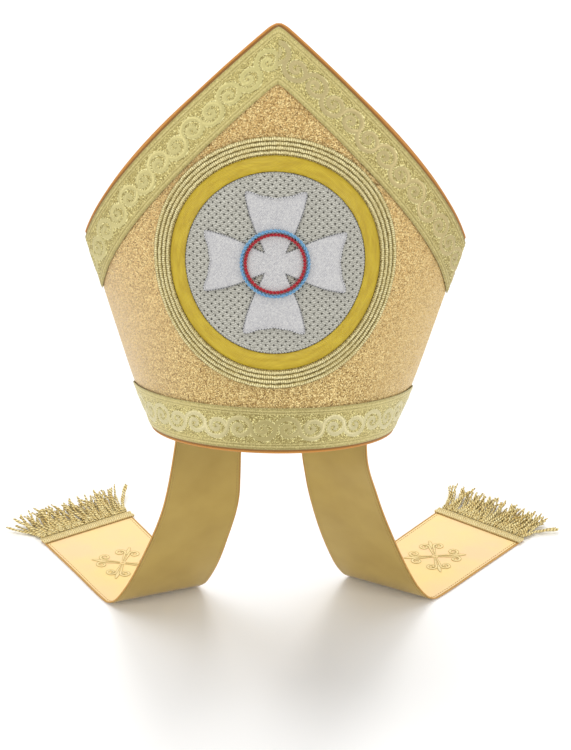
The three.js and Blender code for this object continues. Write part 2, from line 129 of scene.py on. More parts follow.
def startFinish(name, **settings):
    finish = bpy.data.materials.new(name)
    finish.use_nodes = True
    shader = finish.node_tree.nodes["Principled BSDF"]
    for socket, value in settings.items():
        shader.inputs[socket].default_value = value
    return finish, shader


def addNode(finish, kind, inputs=None, **settings):
    node = finish.node_tree.nodes.new(kind)
    for name, value in settings.items():
        setattr(node, name, value)
    for key, value in (inputs or {}).items():
        if isinstance(value, bpy.types.NodeSocket):
            finish.node_tree.links.new(value, node.inputs[key])
        else:
            node.inputs[key].default_value = value
    return node


def dress(finish, shader, colour, normal):
    finish.node_tree.links.new(colour, shader.inputs["Base Color"])
    finish.node_tree.links.new(normal, shader.inputs["Normal"])
    return finish


def hexColour(text):
    levels = [int(text[i : i + 2], 16) / 255 for i in (1, 3, 5)]
    return (*(v / 12.92 if v < 0.04045 else ((v + 0.055) / 1.055) ** 2.4 for v in levels), 1.0)


def clothPoint(finish, stretch=(1, 1, 1), turn=0.0):
    # the piece's own chart in metres, brought to millimetres times stretch
    chart = addNode(finish, "ShaderNodeTexCoord")
    return addNode(finish, "ShaderNodeMapping", {
        "Vector": chart.outputs["UV"],
        "Scale": tuple(1000 * s for s in stretch),
        "Rotation": (0, 0, turn),
    }).outputs[0]


def chartParts(finish, point):
    parts = addNode(finish, "ShaderNodeSeparateXYZ", {"Vector": point})
    return parts.outputs[0], parts.outputs[1]


def mixColour(finish, share, low, high):
    # share 0 gives low, and 1 gives high
    node = addNode(finish, "ShaderNodeMix", data_type="RGBA")
    for index, value in ((0, share), (6, low), (7, high)):
        if isinstance(value, bpy.types.NodeSocket):
            finish.node_tree.links.new(value, node.inputs[index])
        else:
            node.inputs[index].default_value = hexColour(value)
    return node.outputs[2]


def remap(finish, value, low, high, newLow=0.0, newHigh=1.0, smooth=False):
    return addNode(
        finish, "ShaderNodeMapRange",
        {"Value": value, "From Min": low, "From Max": high, "To Min": newLow, "To Max": newHigh},
        interpolation_type="SMOOTHSTEP" if smooth else "LINEAR",
    ).outputs[0]


def sums(finish, operation, first, second=0.0, third=0.0):
    return addNode(finish, "ShaderNodeMath", {0: first, 1: second, 2: third},
                   operation=operation).outputs[0]


def vectorSums(finish, operation, inputs):
    return addNode(finish, "ShaderNodeVectorMath", inputs, operation=operation).outputs[0]


def bumped(finish, height, strength, distance, normal=None):
    inputs = {"Height": height, "Strength": strength, "Distance": distance}
    if normal is not None:
        inputs["Normal"] = normal
    return addNode(finish, "ShaderNodeBump", inputs).outputs[0]


def noiseOn(finish, point, scale, detail=2.0, roughness=0.5):
    return addNode(finish, "ShaderNodeTexNoise", {
        "Vector": point, "Scale": scale, "Detail": detail, "Roughness": roughness,
    }).outputs["Fac"]


def threadsOn(finish, point, pitch, way="X", wander=None):
    # threads side by side, pitch in millimetres from one to the next
    inputs = {"Vector": point, "Scale": bandScale / pitch, **(wander or {})}
    return addNode(finish, "ShaderNodeTexWave", inputs, bands_direction=way).outputs["Fac"]


def weaveOn(finish, point, pitch):
    # a plain weave: threads both ways
    lines = [threadsOn(finish, point, pitch, way) for way in ("X", "Y")]
    return sums(finish, "MULTIPLY", lines[0], lines[1])


def cellsOn(finish, point, cell):
    # small cells, each of a random colour; cell in millimetres
    cells = addNode(finish, "ShaderNodeTexVoronoi", {"Vector": point, "Scale": 1 / cell})
    return cells.outputs["Color"]


def cellTone(finish, cells):
    # one random number from 0 to 1 for each cell
    return addNode(finish, "ShaderNodeSeparateColor", {"Color": cells}).outputs[0]


def glitterOn(finish, point, look):
    # each small cell leans its own way, so a few of them catch the light
    cells = cellsOn(finish, point, look["cell"])
    lean = vectorSums(finish, "SUBTRACT", {0: cells, 1: (0.5, 0.5, 0.5)})
    leant = vectorSums(finish, "SCALE", {0: lean, "Scale": look["tilt"]})
    facing = addNode(finish, "ShaderNodeNewGeometry").outputs["Normal"]
    total = vectorSums(finish, "ADD", {0: facing, 1: leant})
    return cellTone(finish, cells), vectorSums(finish, "NORMALIZE", {0: total})


def sparkled(finish, cloth, tone, lively, look):
    # painted shade on some cells and painted glints on a few, fewer where lively is low
    dark = remap(finish, tone, 0.0, look["darkCells"], look["darkness"], 0.0)
    dim = mixColour(finish, sums(finish, "MULTIPLY", dark, lively), cloth, look["shade"])
    light = remap(finish, tone, look["lightFrom"], look["lightTo"])
    return mixColour(finish, sums(finish, "MULTIPLY", light, lively), dim, look["paintedGlint"])


def rampOn(finish, value, stops):
    # stops are places from 0 to 1, each with a colour
    ramp = addNode(finish, "ShaderNodeValToRGB", {"Fac": value})
    while len(ramp.color_ramp.elements) < len(stops):
        ramp.color_ramp.elements.new(0.5)
    for element, (at, tone) in zip(ramp.color_ramp.elements, stops):
        element.position = at
        element.color = hexColour(tone)
    return ramp.outputs["Color"]


def toneAcross(finish, tones):
    # millimetres and colour, from the left of the hat to the right or from its middle outwards
    place = addNode(finish, "ShaderNodeTexCoord").outputs["Object"]
    x = chartParts(finish, place)[0]
    if tones[0][0] >= 0:
        x = sums(finish, "ABSOLUTE", x)
    low, high = tones[0][0] * 0.001, tones[-1][0] * 0.001
    stops = [((at * 0.001 - low) / (high - low), tone) for at, tone in tones]
    return rampOn(finish, remap(finish, x, low, high), stops)


lameLook = {
    "cloth": "#d2ad6b",
    "low": "#c6a666",  # nearer the rim
    "lowFrom": 120,  # height in millimetres
    "lowTo": 40,
    # painted sheen: paler tones towards the sides, where the cloth turns away
    "side": ((-150, "#dcbe90"), (0, "#d8b980"), (150, "#dcbb79")),
    "sideSheenFrom": 45,  # millimetres from the middle
    "sideSheenTo": 150,
    "trimShade": (150, 95, 0.35, 1.0),  # two heights, and the share of side tone left at each
    "broadNoise": 0.012,
    "shade": "#72501d",
    "darkCells": 0.45,
    "darkness": 0.95,
    "paintedGlint": "#ffe9a8",
    "lightFrom": 0.66,
    "lightTo": 0.92,
    "quietSides": 0.45,
    "cell": 0.66,
    "tilt": 0.8,
    "weavePitch": 0.55,
}


def lameFinish():
    look = lameLook
    finish, shader = startFinish("brocadeGoldLame", **{
        "Metallic": 0.45, "Roughness": 0.42, "Specular IOR Level": 0.5,
        "Sheen Weight": 0.15, "Sheen Roughness": 0.4,
    })
    point = clothPoint(finish)
    tone, leaning = glitterOn(finish, point, look)
    across, height = chartParts(finish, point)
    # the paler tone towards the sides is painted sheen
    paintedSideSheen = remap(finish, sums(finish, "ABSOLUTE", across), look["sideSheenFrom"], look["sideSheenTo"],
                  smooth=True)
    broad = noiseOn(finish, point, look["broadNoise"], 3)
    paintedSideSheen = sums(finish, "ADD", paintedSideSheen, remap(finish, broad, 0.3, 0.7, -0.12, 0.12))
    # the cloth lies in the shade of the trims near the corners
    paintedSideSheen = sums(finish, "MULTIPLY", paintedSideSheen, remap(finish, height, *look["trimShade"]))
    lower = remap(finish, height, look["lowFrom"], look["lowTo"], smooth=True)
    middle = mixColour(finish, lower, look["cloth"], look["low"])
    cloth = mixColour(finish, paintedSideSheen, middle, toneAcross(finish, look["side"]))
    # fewer painted glints towards the sides
    lively = remap(finish, paintedSideSheen, 0.0, 1.0, 1.0, look["quietSides"])
    weave = weaveOn(finish, point, look["weavePitch"])
    return dress(finish, shader, sparkled(finish, cloth, tone, lively, look),
                 bumped(finish, weave, 0.35, 0.0002, leaning))


satinTwill = {"pitch": 0.8, "slant": 0.6}
satinLooks = {
    # key: name, cloth, shade
    "lining": ("liningSatin", "#c3a463", "#b39453"),
    "lappet": ("lappetPaleSatin", "#f5d98e", "#f3d09c"),
    "lappetLining": ("lappetLining", "#bb9f54", "#ad9148"),
}


def satinFinish(name, cloth, shade):
    # smooth twill with broad and fine changes of tone
    finish, shader = startFinish(name, **{
        "Roughness": 0.5, "Specular IOR Level": 0.35, "Sheen Weight": 0.3, "Sheen Roughness": 0.35,
    })
    point = clothPoint(finish)
    broad = remap(finish, noiseOn(finish, point, 0.02, 3), 0.35, 0.65)
    fine = remap(finish, noiseOn(finish, point, 1.1), 0.3, 0.7, 0.0, 0.25)
    colour = mixColour(finish, fine, mixColour(finish, broad, cloth, shade), shade)
    twill = threadsOn(finish, clothPoint(finish, turn=satinTwill["slant"]), satinTwill["pitch"])
    return dress(finish, shader, colour, bumped(finish, twill, 0.3, 0.0002))


galloonLook = {
    "shade": "#74662c",
    "darkCells": 0.42,
    "darkness": 0.85,
    "paintedGlint": "#fbf0a8",
    "lightFrom": 0.72,
    "lightTo": 0.95,
    "line": "#dccf92",
    "edge": "#a39866",
    "cell": 0.56,
    "tilt": 0.7,
    "weavePitch": 0.7,
    "fieldFrom": 4.6,  # millimetres from the edge, where the lively field begins
    "fieldTo": 5.4,
    # distance from the edge, full within, faded at, strength
    "outerLine": (2.5, 0.35, 0.8, 0.7),
    "innerLine": (4.5, 0.2, 0.6, 0.7),
    "groove": (3.5, 0.15, 0.5, 0.35),
    # painted reflection: the band darker in its middle and lighter towards its sides, the left
    # trim lighter than the right
    "band": ((25, "#a6975b"), (70, "#c6b675"), (125, "#d4c68d")),
    "trim": ((-150, "#b3a260"), (0, "#c6b772"), (150, "#ac9a5a")),
}


def lineOn(finish, distance, at, within, faded, strength):
    away = sums(finish, "ABSOLUTE", sums(finish, "SUBTRACT", distance, at))
    return remap(finish, away, within, faded, strength, 0.0)


def galloonFinish(name, part):
    # chart: x along the braid, y across it
    look = galloonLook
    finish, shader = startFinish(name, **{
        "Metallic": 0.4, "Roughness": 0.42, "Specular IOR Level": 0.5,
    })
    point = clothPoint(finish)
    tone, leaning = glitterOn(finish, point, look)
    across = chartParts(finish, point)[1]
    otherEdge = sums(finish, "SUBTRACT", hat["braidWidth"], across)
    fromEdge = sums(finish, "MINIMUM", across, otherEdge)
    # the field between the border lines sparkles with painted glints, the border less so
    lively = remap(finish, fromEdge, look["fieldFrom"], look["fieldTo"], 0.45, 1.0)
    # the ground's tone across the hat is painted reflection
    ground = sparkled(finish, toneAcross(finish, look[part]), tone, lively, look)
    # the lines are woven of short floats, so they come and go
    floats = remap(finish, noiseOn(finish, point, 0.9), 0.38, 0.58, 0.25, 1.0)
    lines = sums(finish, "MAXIMUM", lineOn(finish, fromEdge, *look["outerLine"]),
                 lineOn(finish, fromEdge, *look["innerLine"]))
    lined = mixColour(finish, sums(finish, "MULTIPLY", lines, floats), ground, look["line"])
    # darker along the groove between the lines
    groove = sums(finish, "MULTIPLY", lineOn(finish, fromEdge, *look["groove"]), floats)
    grooved = mixColour(finish, groove, lined, look["shade"])
    edge = remap(finish, fromEdge, 0.2, 1.4, 0.6, 0.0)
    weave = weaveOn(finish, point, look["weavePitch"])
    return dress(finish, shader, mixColour(finish, edge, grooved, look["edge"]),
                 bumped(finish, weave, 0.4, 0.0003, leaning))


scrollLook = {
    # painted reflection of the satin: the band's ribbon darker in its middle and lighter towards
    # its sides, the left trim lighter than the right
    "band": ((12, "#b8ab72"), (50, "#dad0a1"), (120, "#dacf98")),
    "trim": ((-150, "#d0c487"), (-4, "#ded48f"), (4, "#cbbb86"), (150, "#c3b079")),
    "shade": "#8f8048",
    "rib": 0.75,  # millimetres from rib to rib
}


def scrollFinish(name, part):
    # smooth satin ribbon with a fine crosswise rib; chart x along it, y across
    look = scrollLook
    finish, shader = startFinish(name, **{
        "Metallic": 0.35, "Roughness": 0.3, "Specular IOR Level": 0.5,
    })
    point = clothPoint(finish)
    rib = threadsOn(finish, point, look["rib"])
    # the ribbon's tone across the hat is painted reflection
    worn = mixColour(finish, remap(finish, noiseOn(finish, point, 1.4), 0.4, 0.75, 0.0, 0.35),
                     toneAcross(finish, look[part]), look["shade"])
    colour = mixColour(finish, remap(finish, rib, 0.0, 0.5, 0.3, 0.0), worn, look["shade"])
    return dress(finish, shader, colour, bumped(finish, rib, 0.4, 0.0002))


outlineLook = {"dark": "#7b6d32", "middle": "#b3a45c", "light": "#f6eeb0", "cell": 0.66}


def outlineFinish():
    # the broken line round the scroll: bright and dark stitches by turns
    look = outlineLook
    finish, shader = startFinish("braidScrollOutline", **{"Metallic": 0.4, "Roughness": 0.42})
    tone = cellTone(finish, cellsOn(finish, clothPoint(finish), look["cell"]))
    dim = mixColour(finish, remap(finish, tone, 0.3, 0.5, 1.0, 0.0), look["middle"], look["dark"])
    colour = mixColour(finish, remap(finish, tone, 0.55, 0.7), dim, look["light"])
    return dress(finish, shader, colour, bumped(finish, tone, 0.6, 0.0003))


threadWander = {"Distortion": 1.2, "Detail": 1.0, "Detail Scale": 0.6}
threadLooks = {
    # key: name, thread, shade, and what differs from the plain thread of threadFinish
    "piping": ("pipingOrangeSatin", "#d5923f", "#b3762a",
               {"roughness": 0.55, "pitch": 1.1, "slant": 0.6}),
    # the lip is real, its dark colour is painted shade of the crease beside the braid
    "shadedFlange": ("pipingFlange", "#9c6a2c", "#7c4f1c",
               {"roughness": 0.6, "pitch": 1.1, "bump": 0.4, "slant": 0.6}),
    "lappetPiping": ("lappetPipingSatin", "#d9a552", "#bd883a",
                     {"roughness": 0.5, "pitch": 1.1, "slant": 0.6}),
    "silver": ("silverThread", "#d3d1c6", "#8b897e",
               {"metallic": 0.3, "pitch": 1.25, "bump": 0.9, "slant": 0.8, "speckle": 0.8}),
    "silverGround": ("silverThreadGround", "#5d5b52", "#45433b",
                     {"roughness": 0.6, "metallic": 0.2, "pitch": 0.9}),
    "gold": ("goldThread", "#d8c585", "#7d6c3a",
             {"roughness": 0.36, "metallic": 0.45, "pitch": 1.1, "bump": 0.9}),
    "grey": ("greyOutlineThread", "#5f6166", "#45474b",
             {"roughness": 0.5, "metallic": 0.2, "pitch": 0.8}),
    "red": ("redThread", "#c01f2e", "#8c1220",
            {"roughness": 0.45, "pitch": 1.0, "bump": 0.6, "slant": 0.7}),
    "blue": ("blueThread", "#7db2d8", "#4f86b0",
             {"roughness": 0.45, "pitch": 1.0, "bump": 0.6, "slant": 0.7}),
    "heading": ("headingPaleGold", "#fff0b6", "#b39654",
                {"metallic": 0.1, "pitch": 1.7, "bump": 0.9, "slant": 0.8, "speckle": 0.75}),
    "seamThread": ("seamThreadBrown", "#b28e4a", "#8f6f35",
                   {"roughness": 0.5, "pitch": 0.8, "bump": 0.4}),
    "embroidery": ("lappetEmbroidery", "#f8e0a2", "#efd48e", {"roughness": 0.4, "bump": 0.4}),
    "embroideryLine": ("lappetEmbroideryLine", "#cbb26a", "#b59c54",
                       {"roughness": 0.5, "bump": 0.4}),
}


def threadFinish(name, thread, shade, roughness=0.42, metallic=0.0, pitch=0.7, bump=0.5,
                 slant=0.0, speckle=0.5):
    # satin stitch: fine threads across the piece, chart y along the thread
    finish, shader = startFinish(name, **{
        "Roughness": roughness, "Metallic": metallic, "Sheen Weight": 0.1, "Sheen Roughness": 0.4,
    })
    point = clothPoint(finish, turn=slant)
    threads = threadsOn(finish, point, pitch, wander=threadWander)
    grooves = remap(finish, threads, 0.0, 0.5, speckle, 0.0)
    grain = remap(finish, noiseOn(finish, point, 0.9), 0.35, 0.75, 0.0, speckle)
    colour = mixColour(finish, grain, mixColour(finish, grooves, thread, shade), shade)
    return dress(finish, shader, colour, bumped(finish, threads, bump, 0.0004))


whiteLook = {"light": "#d3d2d0", "dark": "#a9a8ad", "cell": 0.75, "pitch": 1.1, "slant": 0.6}


def whiteFinish():
    # close satin stitch, laid slantwise; every stitch takes the light a little differently
    look = whiteLook
    finish, shader = startFinish("whiteSatinStitch", **{"Roughness": 0.42, "Sheen Weight": 0.1})
    point = addNode(finish, "ShaderNodeMapping", {
        "Vector": addNode(finish, "ShaderNodeTexCoord").outputs["Object"],
        "Scale": (1000, 1000, 1000),
        "Rotation": (0, look["slant"], 0),
    }).outputs[0]
    tone = cellTone(finish, cellsOn(finish, point, look["cell"]))
    threads = threadsOn(finish, point, look["pitch"], wander={"Distortion": 1.5})
    # painted shade in the grooves between the stitches
    grooves = remap(finish, threads, 0.0, 0.5, 0.25, 0.0)
    share = sums(finish, "MULTIPLY_ADD", tone, 0.75, grooves)
    return dress(finish, shader, mixColour(finish, share, look["light"], look["dark"]),
                 bumped(finish, threads, 0.5, 0.0003))


goldRingLook = {
    "light": "#f6eab2",
    "middle": "#c0ad6c",
    "dark": "#7b6a35",
    # across each ridge: painted shade at its foot and a painted highlight along its top
    "profile": ((0.0, "dark"), (0.2, "middle"), (0.38, "light"), (0.64, "light"), (1.0, "dark")),
    "stitch": 1.7,  # millimetres from stitch to stitch
    "wander": {"Distortion": 2.5, "Detail": 2.0, "Detail Scale": 0.8},
    "ridge": 3.45,
    "from": 82.7,
}


def goldRingFinish():
    # chart: x round the ring, y the distance from its middle
    look = goldRingLook
    finish, shader = startFinish("goldThreadRidges", **{"Metallic": 0.4, "Roughness": 0.38})
    point = clothPoint(finish)
    distance = chartParts(finish, point)[1]
    wander = remap(finish, noiseOn(finish, point, 0.3, 3), 0.3, 0.7, -0.7, 0.7)
    out = sums(finish, "SUBTRACT", sums(finish, "ADD", distance, wander), look["from"])
    # each ridge is painted with a highlight on its top and shade at its foot
    ridge = sums(finish, "FRACT", sums(finish, "DIVIDE", out, look["ridge"]))
    ridges = rampOn(finish, ridge, [(at, look[key]) for at, key in look["profile"]])
    threads = threadsOn(finish, point, look["stitch"], wander=look["wander"])
    # painted shade between the stitches
    grooves = remap(finish, threads, 0.05, 0.6, 0.8, 0.0)
    shaded = mixColour(finish, grooves, ridges, look["dark"])
    patches = remap(finish, noiseOn(finish, point, 0.07, 3), 0.42, 0.62, 0.0, 0.4)
    patchy = mixColour(finish, patches, shaded, look["middle"])
    # painted glints in a bright grain
    grain = remap(finish, noiseOn(finish, point, 0.8, 3), 0.52, 0.7, 0.0, 0.8)
    return dress(finish, shader, mixColour(finish, grain, patchy, look["light"]),
                 bumped(finish, threads, 0.8, 0.0005))


yellowLook = {
    "light": "#d4b92c",
    "middle": "#c2a41e",
    "dark": "#9d8114",
    "pitch": 0.9,
    "wander": {"Distortion": 3.0, "Detail": 2.0, "Detail Scale": 0.7},
    "stretch": (0.22, 1, 1),
    "slant": 0.5,
}


def yellowFinish():
    # chart: x round the ring, y the distance from its middle; long stitches laid slantwise
    look = yellowLook
    finish, shader = startFinish("yellowSatinStitch",
                                 **{"Roughness": 0.4, "Specular IOR Level": 0.5})
    point = clothPoint(finish, stretch=look["stretch"], turn=look["slant"])
    threads = threadsOn(finish, point, look["pitch"], "Y", look["wander"])
    streak = remap(finish, noiseOn(finish, point, 0.3, 3), 0.35, 0.65)
    base = mixColour(finish, streak, look["light"], look["middle"])
    # painted shade in the grooves between the stitches
    grooves = remap(finish, threads, 0.0, 0.5, 0.55, 0.0)
    return dress(finish, shader, mixColour(finish, grooves, base, look["dark"]),
                 bumped(finish, threads, 0.6, 0.0004))


fringeLook = {
    "light": "#fff2b6",
    "middle": "#e3c576",
    "dark": "#6f5520",
    "ply": 2.5,  # millimetres from one turn of the twist to the next
    "slant": 0.62,
}


def fringeFinish():
    # chart: x along a thread, y round it
    look = fringeLook
    finish, shader = startFinish("fringeTwistedGold", **{"Metallic": 0.15, "Roughness": 0.4})
    point = clothPoint(finish, turn=look["slant"])
    plies = threadsOn(finish, point, look["ply"])
    grain = remap(finish, noiseOn(finish, point, 0.12, 4, 0.7), 0.38, 0.62)
    base = mixColour(finish, grain, look["middle"], look["light"])
    # painted shade in the grooves of the twist
    grooves = remap(finish, plies, 0.05, 0.45, 0.85, 0.0)
    return dress(finish, shader, mixColour(finish, grooves, base, look["dark"]),
                 bumped(finish, plies, 0.8, 0.0006))


# shape of the hat, in millimetres; the cloth is cut flat, and bent to an arc at each height

hat = {
    "rimTilt": 14.5,  # degrees
    "forwardSlant": 0.086,  # how far it leans forward, for each millimetre up
    "cornerHeight": 153.3,
    "peakHeight": {-1: 326.7, 1: 312},  # front, back
    "archBow": 5,  # of the upper edge, out from the straight line
    "pointRadius": 2.2,  # how far the two points are rounded off
    "wall": 2,
    "seamHalfGap": 0.15,
    "gap": 0.3,  # between the piping and what it lies beside
    "braidWidth": 32.4,
    "edgeInset": 0.7,  # of the braid from the edge of the cloth
    "roundelHeight": 145,
}
# at each height, half the width of a panel's section and how far its arc bulges
hatShape = {
    "height": [-40, 0, 25, 84, 117, 153.3, 207, 267, 342],
    "halfWidth": [82.5, 95.8, 106.4, 125.8, 136, 147.4, 160.4, 169.2, 174.2],
    "bulge": [97, 94.4, 90.6, 81.8, 77.3, 72.5, 65.4, 57, 45],
}


def smoothRead(places, values, at):
    # a smooth curve through the values, which never overshoots them
    last = len(places) - 1
    i = min(max(bisect.bisect_left(places, at), 1), last)
    rises = [(values[k + 1] - values[k]) / (places[k + 1] - places[k]) for k in range(last)]

    def slope(k):
        before, after = rises[max(k - 1, 0)], rises[min(k, last - 1)]
        return 2 * before * after / (before + after) if before * after > 0 else 0

    step = places[i] - places[i - 1]
    t = min(max((at - places[i - 1]) / step, 0), 1)
    return (
        (2 * t**3 - 3 * t**2 + 1) * values[i - 1]
        + (t**3 - 2 * t**2 + t) * step * slope(i - 1)
        + (3 * t**2 - 2 * t**3) * values[i]
        + (t**3 - t**2) * step * slope(i)
    )


sectionsRead = {}


def sectionAt(height):
    # bulge and radius of the section, and half its length along the cloth
    key = round(height, 3)
    if key not in sectionsRead:
        half = smoothRead(hatShape["height"], hatShape["halfWidth"], height)
        bulge = smoothRead(hatShape["height"], hatShape["bulge"], height)
        radius = (half**2 + bulge**2) / (2 * bulge)
        sectionsRead[key] = (bulge, radius, radius * 2 * math.atan(bulge / half))
    return sectionsRead[key]


def bend(across, height, lift, facing):
    # a place on the flat cloth, bent to its arc and lifted off it
    bulge, radius, _ = sectionAt(height)
    turn = across / radius
    return Vector((
        (radius + lift) * math.sin(turn),
        facing * ((radius + lift) * math.cos(turn) - (radius - bulge)),
        height,
    ))


def leant(point):
    # the hat leans forward, then tips with its rim; millimetres to metres
    tilt = math.radians(hat["rimTilt"])
    y, z = point.y - hat["forwardSlant"] * point.z, point.z
    return Vector((
        point.x,
        y * math.cos(tilt) + z * math.sin(tilt),
        z * math.cos(tilt) - y * math.sin(tilt),
    )) * 0.001


cornerAcross = sectionAt(hat["cornerHeight"])[2]


def archChord(facing):
    return math.hypot(cornerAcross, hat["peakHeight"][facing] - hat["cornerHeight"])


def archPoint(facing, along, inset):
    # the upper edge in the flat cloth: along 0 at the corner, 1 at the point
    corner, peak, bow = hat["cornerHeight"], hat["peakHeight"][facing], hat["archBow"]
    chord = archChord(facing)
    radius = (chord**2 / 4 + bow**2) / (2 * bow)
    outAcross, outUp = (peak - corner) / chord, cornerAcross / chord
    turn = math.asin(chord / 2 / radius) * (2 * along - 1)
    reach = (radius - inset) * math.cos(turn) - (radius - bow)
    slide = (radius - inset) * math.sin(turn)
    across = cornerAcross / 2 + outAcross * reach - outUp * slide
    height = (corner + peak) / 2 + outUp * reach + outAcross * slide
    rounded = math.hypot(across, hat["pointRadius"]) - abs(across)
    return across, height - rounded * outAcross / outUp


# mesh helpers

upwards = Vector((0, 0, 1))
mergeWithin = 1e-3  # millimetres
cordGirth = 6  # millimetres of the chart that go round a cord
stitchSwell = (0.35, 0.9, 1, 0.9, 0.35)  # thin at both ends of a stitch


def gridOn(bm, columns, rows, place, chart, material=0):
    # a grid put where place(u, v) says, with chart(u, v) in millimetres as its uv
    made = bmesh.ops.create_grid(bm, x_segments=columns, y_segments=rows, size=0.5)["verts"]
    layer = bm.loops.layers.uv.verify()
    stations = {}
    for vert in made:
        u = round((vert.co.x + 0.5) * columns) / columns
        v = round((vert.co.y + 0.5) * rows) / rows
        stations[vert] = (u, v)
        vert.co = place(u, v)
    for face in {face for vert in made for face in vert.link_faces}:
        face.material_index = material
        for loop in face.loops:
            loop[layer].uv = [c * 0.001 for c in chart(*stations[loop.vert])]


def fillHoles(bm):
    bmesh.ops.holes_fill(bm, edges=[edge for edge in bm.edges if edge.is_boundary], sides=0)


def cutAway(bm, point, direction, fill=False):
    cut = bmesh.ops.bisect_plane(
        bm, geom=bm.verts[:] + bm.edges[:] + bm.faces[:], dist=1e-4,
        plane_co=point, plane_no=direction, clear_outer=True,
    )
    if fill:
        edges = [e for e in cut["geom_cut"] if isinstance(e, bmesh.types.BMEdge) and e.is_valid]
        bmesh.ops.holes_fill(bm, edges=[e for e in edges if e.is_boundary], sides=0)


def cutAtSeam(bm, facing, fill=False):
    cutAway(bm, (0, facing * hat["seamHalfGap"], 0), (0, -facing, 0), fill)


def leanAll(bm):
    for vert in bm.verts:
        vert.co = leant(vert.co)


def faceTowards(bm, direction, least=0.0):
    # turned over where most of it faces away; least leaves out the faces that stand on edge
    bm.normal_update()
    facing = [face.normal.dot(direction) for face in bm.faces]
    if sum(share for share in facing if abs(share) > least) < 0:
        bmesh.ops.reverse_faces(bm, faces=bm.faces[:])


def thicken(bm, thickness, under=0):
    # an open sheet becomes a shell; its under side and rim take the second finish
    above = set(bm.faces)
    bmesh.ops.solidify(bm, geom=bm.faces[:], thickness=thickness * 0.001)
    for face in bm.faces:
        if face not in above:
            face.material_index = under


def flatArea(bm):
    layer = bm.loops.layers.uv.verify()
    total = 0
    for face in bm.faces:
        uvs = [loop[layer].uv for loop in face.loops]
        total += sum(a.x * b.y - b.x * a.y for a, b in zip(uvs, uvs[1:] + uvs[:1])) / 2
    return abs(total)


def keepPiece(bm, name, finishes, slot, replaced=(), sharp=50):
    mesh = bpy.data.meshes.new(name)
    bm.to_mesh(mesh)
    bm.free()
    mesh.shade_smooth()
    mesh.set_sharp_from_angle(angle=math.radians(sharp))
    for finish in finishes:
        mesh.materials.append(finish)
    piece = bpy.data.objects.new(name, mesh)
    bpy.context.collection.objects.link(piece)
    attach(piece, "root")
    if replaced:
        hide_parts(*replaced)
    return piece


def cordOn(bm, centres, sides, skin, closed=False, up=upwards, chartFrom=0.0, material=0):
    # skin(i, turn) gives how far sideways and how far up from a centre
    steps = len(centres) if closed else len(centres) - 1
    frames = []
    for i in range(len(centres)):
        before = centres[i - 1] if closed or i else centres[0]
        after = centres[(i + 1) % len(centres)] if closed or i < len(centres) - 1 else centres[-1]
        run = (after - before).normalized()
        lifted = up[i] if isinstance(up, list) else up
        side = run.cross(lifted).normalized()
        frames.append((centres[i], side, side.cross(run).normalized()))
    lengths = [0.0]
    for i in range(steps):
        lengths.append(lengths[-1] + (centres[(i + 1) % len(centres)] - centres[i]).length)

    def place(u, v):
        i = round(u * steps) % len(centres) if closed else round(u * steps)
        centre, side, rise = frames[i]
        sideways, raised = skin(round(u * steps), 2 * math.pi * v)
        return centre + side * sideways + rise * raised

    def chart(u, v):
        return chartFrom + lengths[round(u * steps)], v * cordGirth

    gridOn(bm, steps, sides, place, chart, material)


def ovalSkin(wide, high):
    return lambda i, turn: (wide * math.cos(turn), high * math.sin(turn))


def closeUp(bm):
    # a ring made as a grid: its seam and its pole are merged
    bmesh.ops.remove_doubles(bm, verts=bm.verts[:], dist=mergeWithin)
    bmesh.ops.dissolve_degenerate(bm, dist=mergeWithin * 0.1, edges=bm.edges[:])
    bmesh.ops.recalc_face_normals(bm, faces=bm.faces[:])


def stitchRow(bm, points, ups, pitch, length, radius, material=0):
    # short threads along a run of points, each half sunk in the cloth
    reach = [0.0]
    for before, after in zip(points, points[1:]):
        reach.append(reach[-1] + (after - before).length)

    def along(distance):
        i = min(max(bisect.bisect_right(reach, distance), 1), len(points) - 1)
        share = (distance - reach[i - 1]) / max(reach[i] - reach[i - 1], 1e-9)
        return points[i - 1].lerp(points[i], share), ups[i - 1].lerp(ups[i], share)

    def skin(i, turn):
        return radius * stitchSwell[i] * math.cos(turn), radius * stitchSwell[i] * math.sin(turn)

    last = len(stitchSwell) - 1
    start = (reach[-1] % pitch) / 2 + (pitch - length) / 2
    while start + length < reach[-1]:
        places, rises = zip(*(along(start + length * k / last) for k in range(last + 1)))
        cordOn(bm, places, 5, skin, up=list(rises), material=material)
        start += pitch


def sealCords(bm):
    # tubes made as grids: the seam is merged and the open ends are filled
    bmesh.ops.remove_doubles(bm, verts=bm.verts[:], dist=mergeWithin)
    fillHoles(bm)
    bmesh.ops.recalc_face_normals(bm, faces=bm.faces[:])


def toMetres(bm):
    bmesh.ops.scale(bm, vec=(0.001, 0.001, 0.001), verts=bm.verts[:])


placeCamera()
lightStudio()
print("camera and studio ready")

finishes = {
    "lame": lameFinish(),
    "bandGalloon": galloonFinish("braidBandGalloon", "band"),
    "trimGalloon": galloonFinish("braidTrimGalloon", "trim"),
    "bandScroll": scrollFinish("braidBandScroll", "band"),
    "trimScroll": scrollFinish("braidTrimScroll", "trim"),
    "scrollEdge": outlineFinish(),
    "yellow": yellowFinish(),
    "white": whiteFinish(),
    "goldRing": goldRingFinish(),
    "fringe": fringeFinish(),
}
for key, look in satinLooks.items():
    finishes[key] = satinFinish(*look)
for key, (name, thread, shade, plain) in threadLooks.items():
    finishes[key] = threadFinish(name, thread, shade, **plain)
print("finishes ready")

# front and back panels of the hat

panelSettings = {
    "columns": 132,
    "rows": 90,
    "pastCorner": 2.2,  # so that the cloth can be cut straight at the seam
    "thickness": 1.6,
    "ripple": 0.3,  # how far the stiffened cloth wanders in and out
    "rippleScale": 0.018,
}


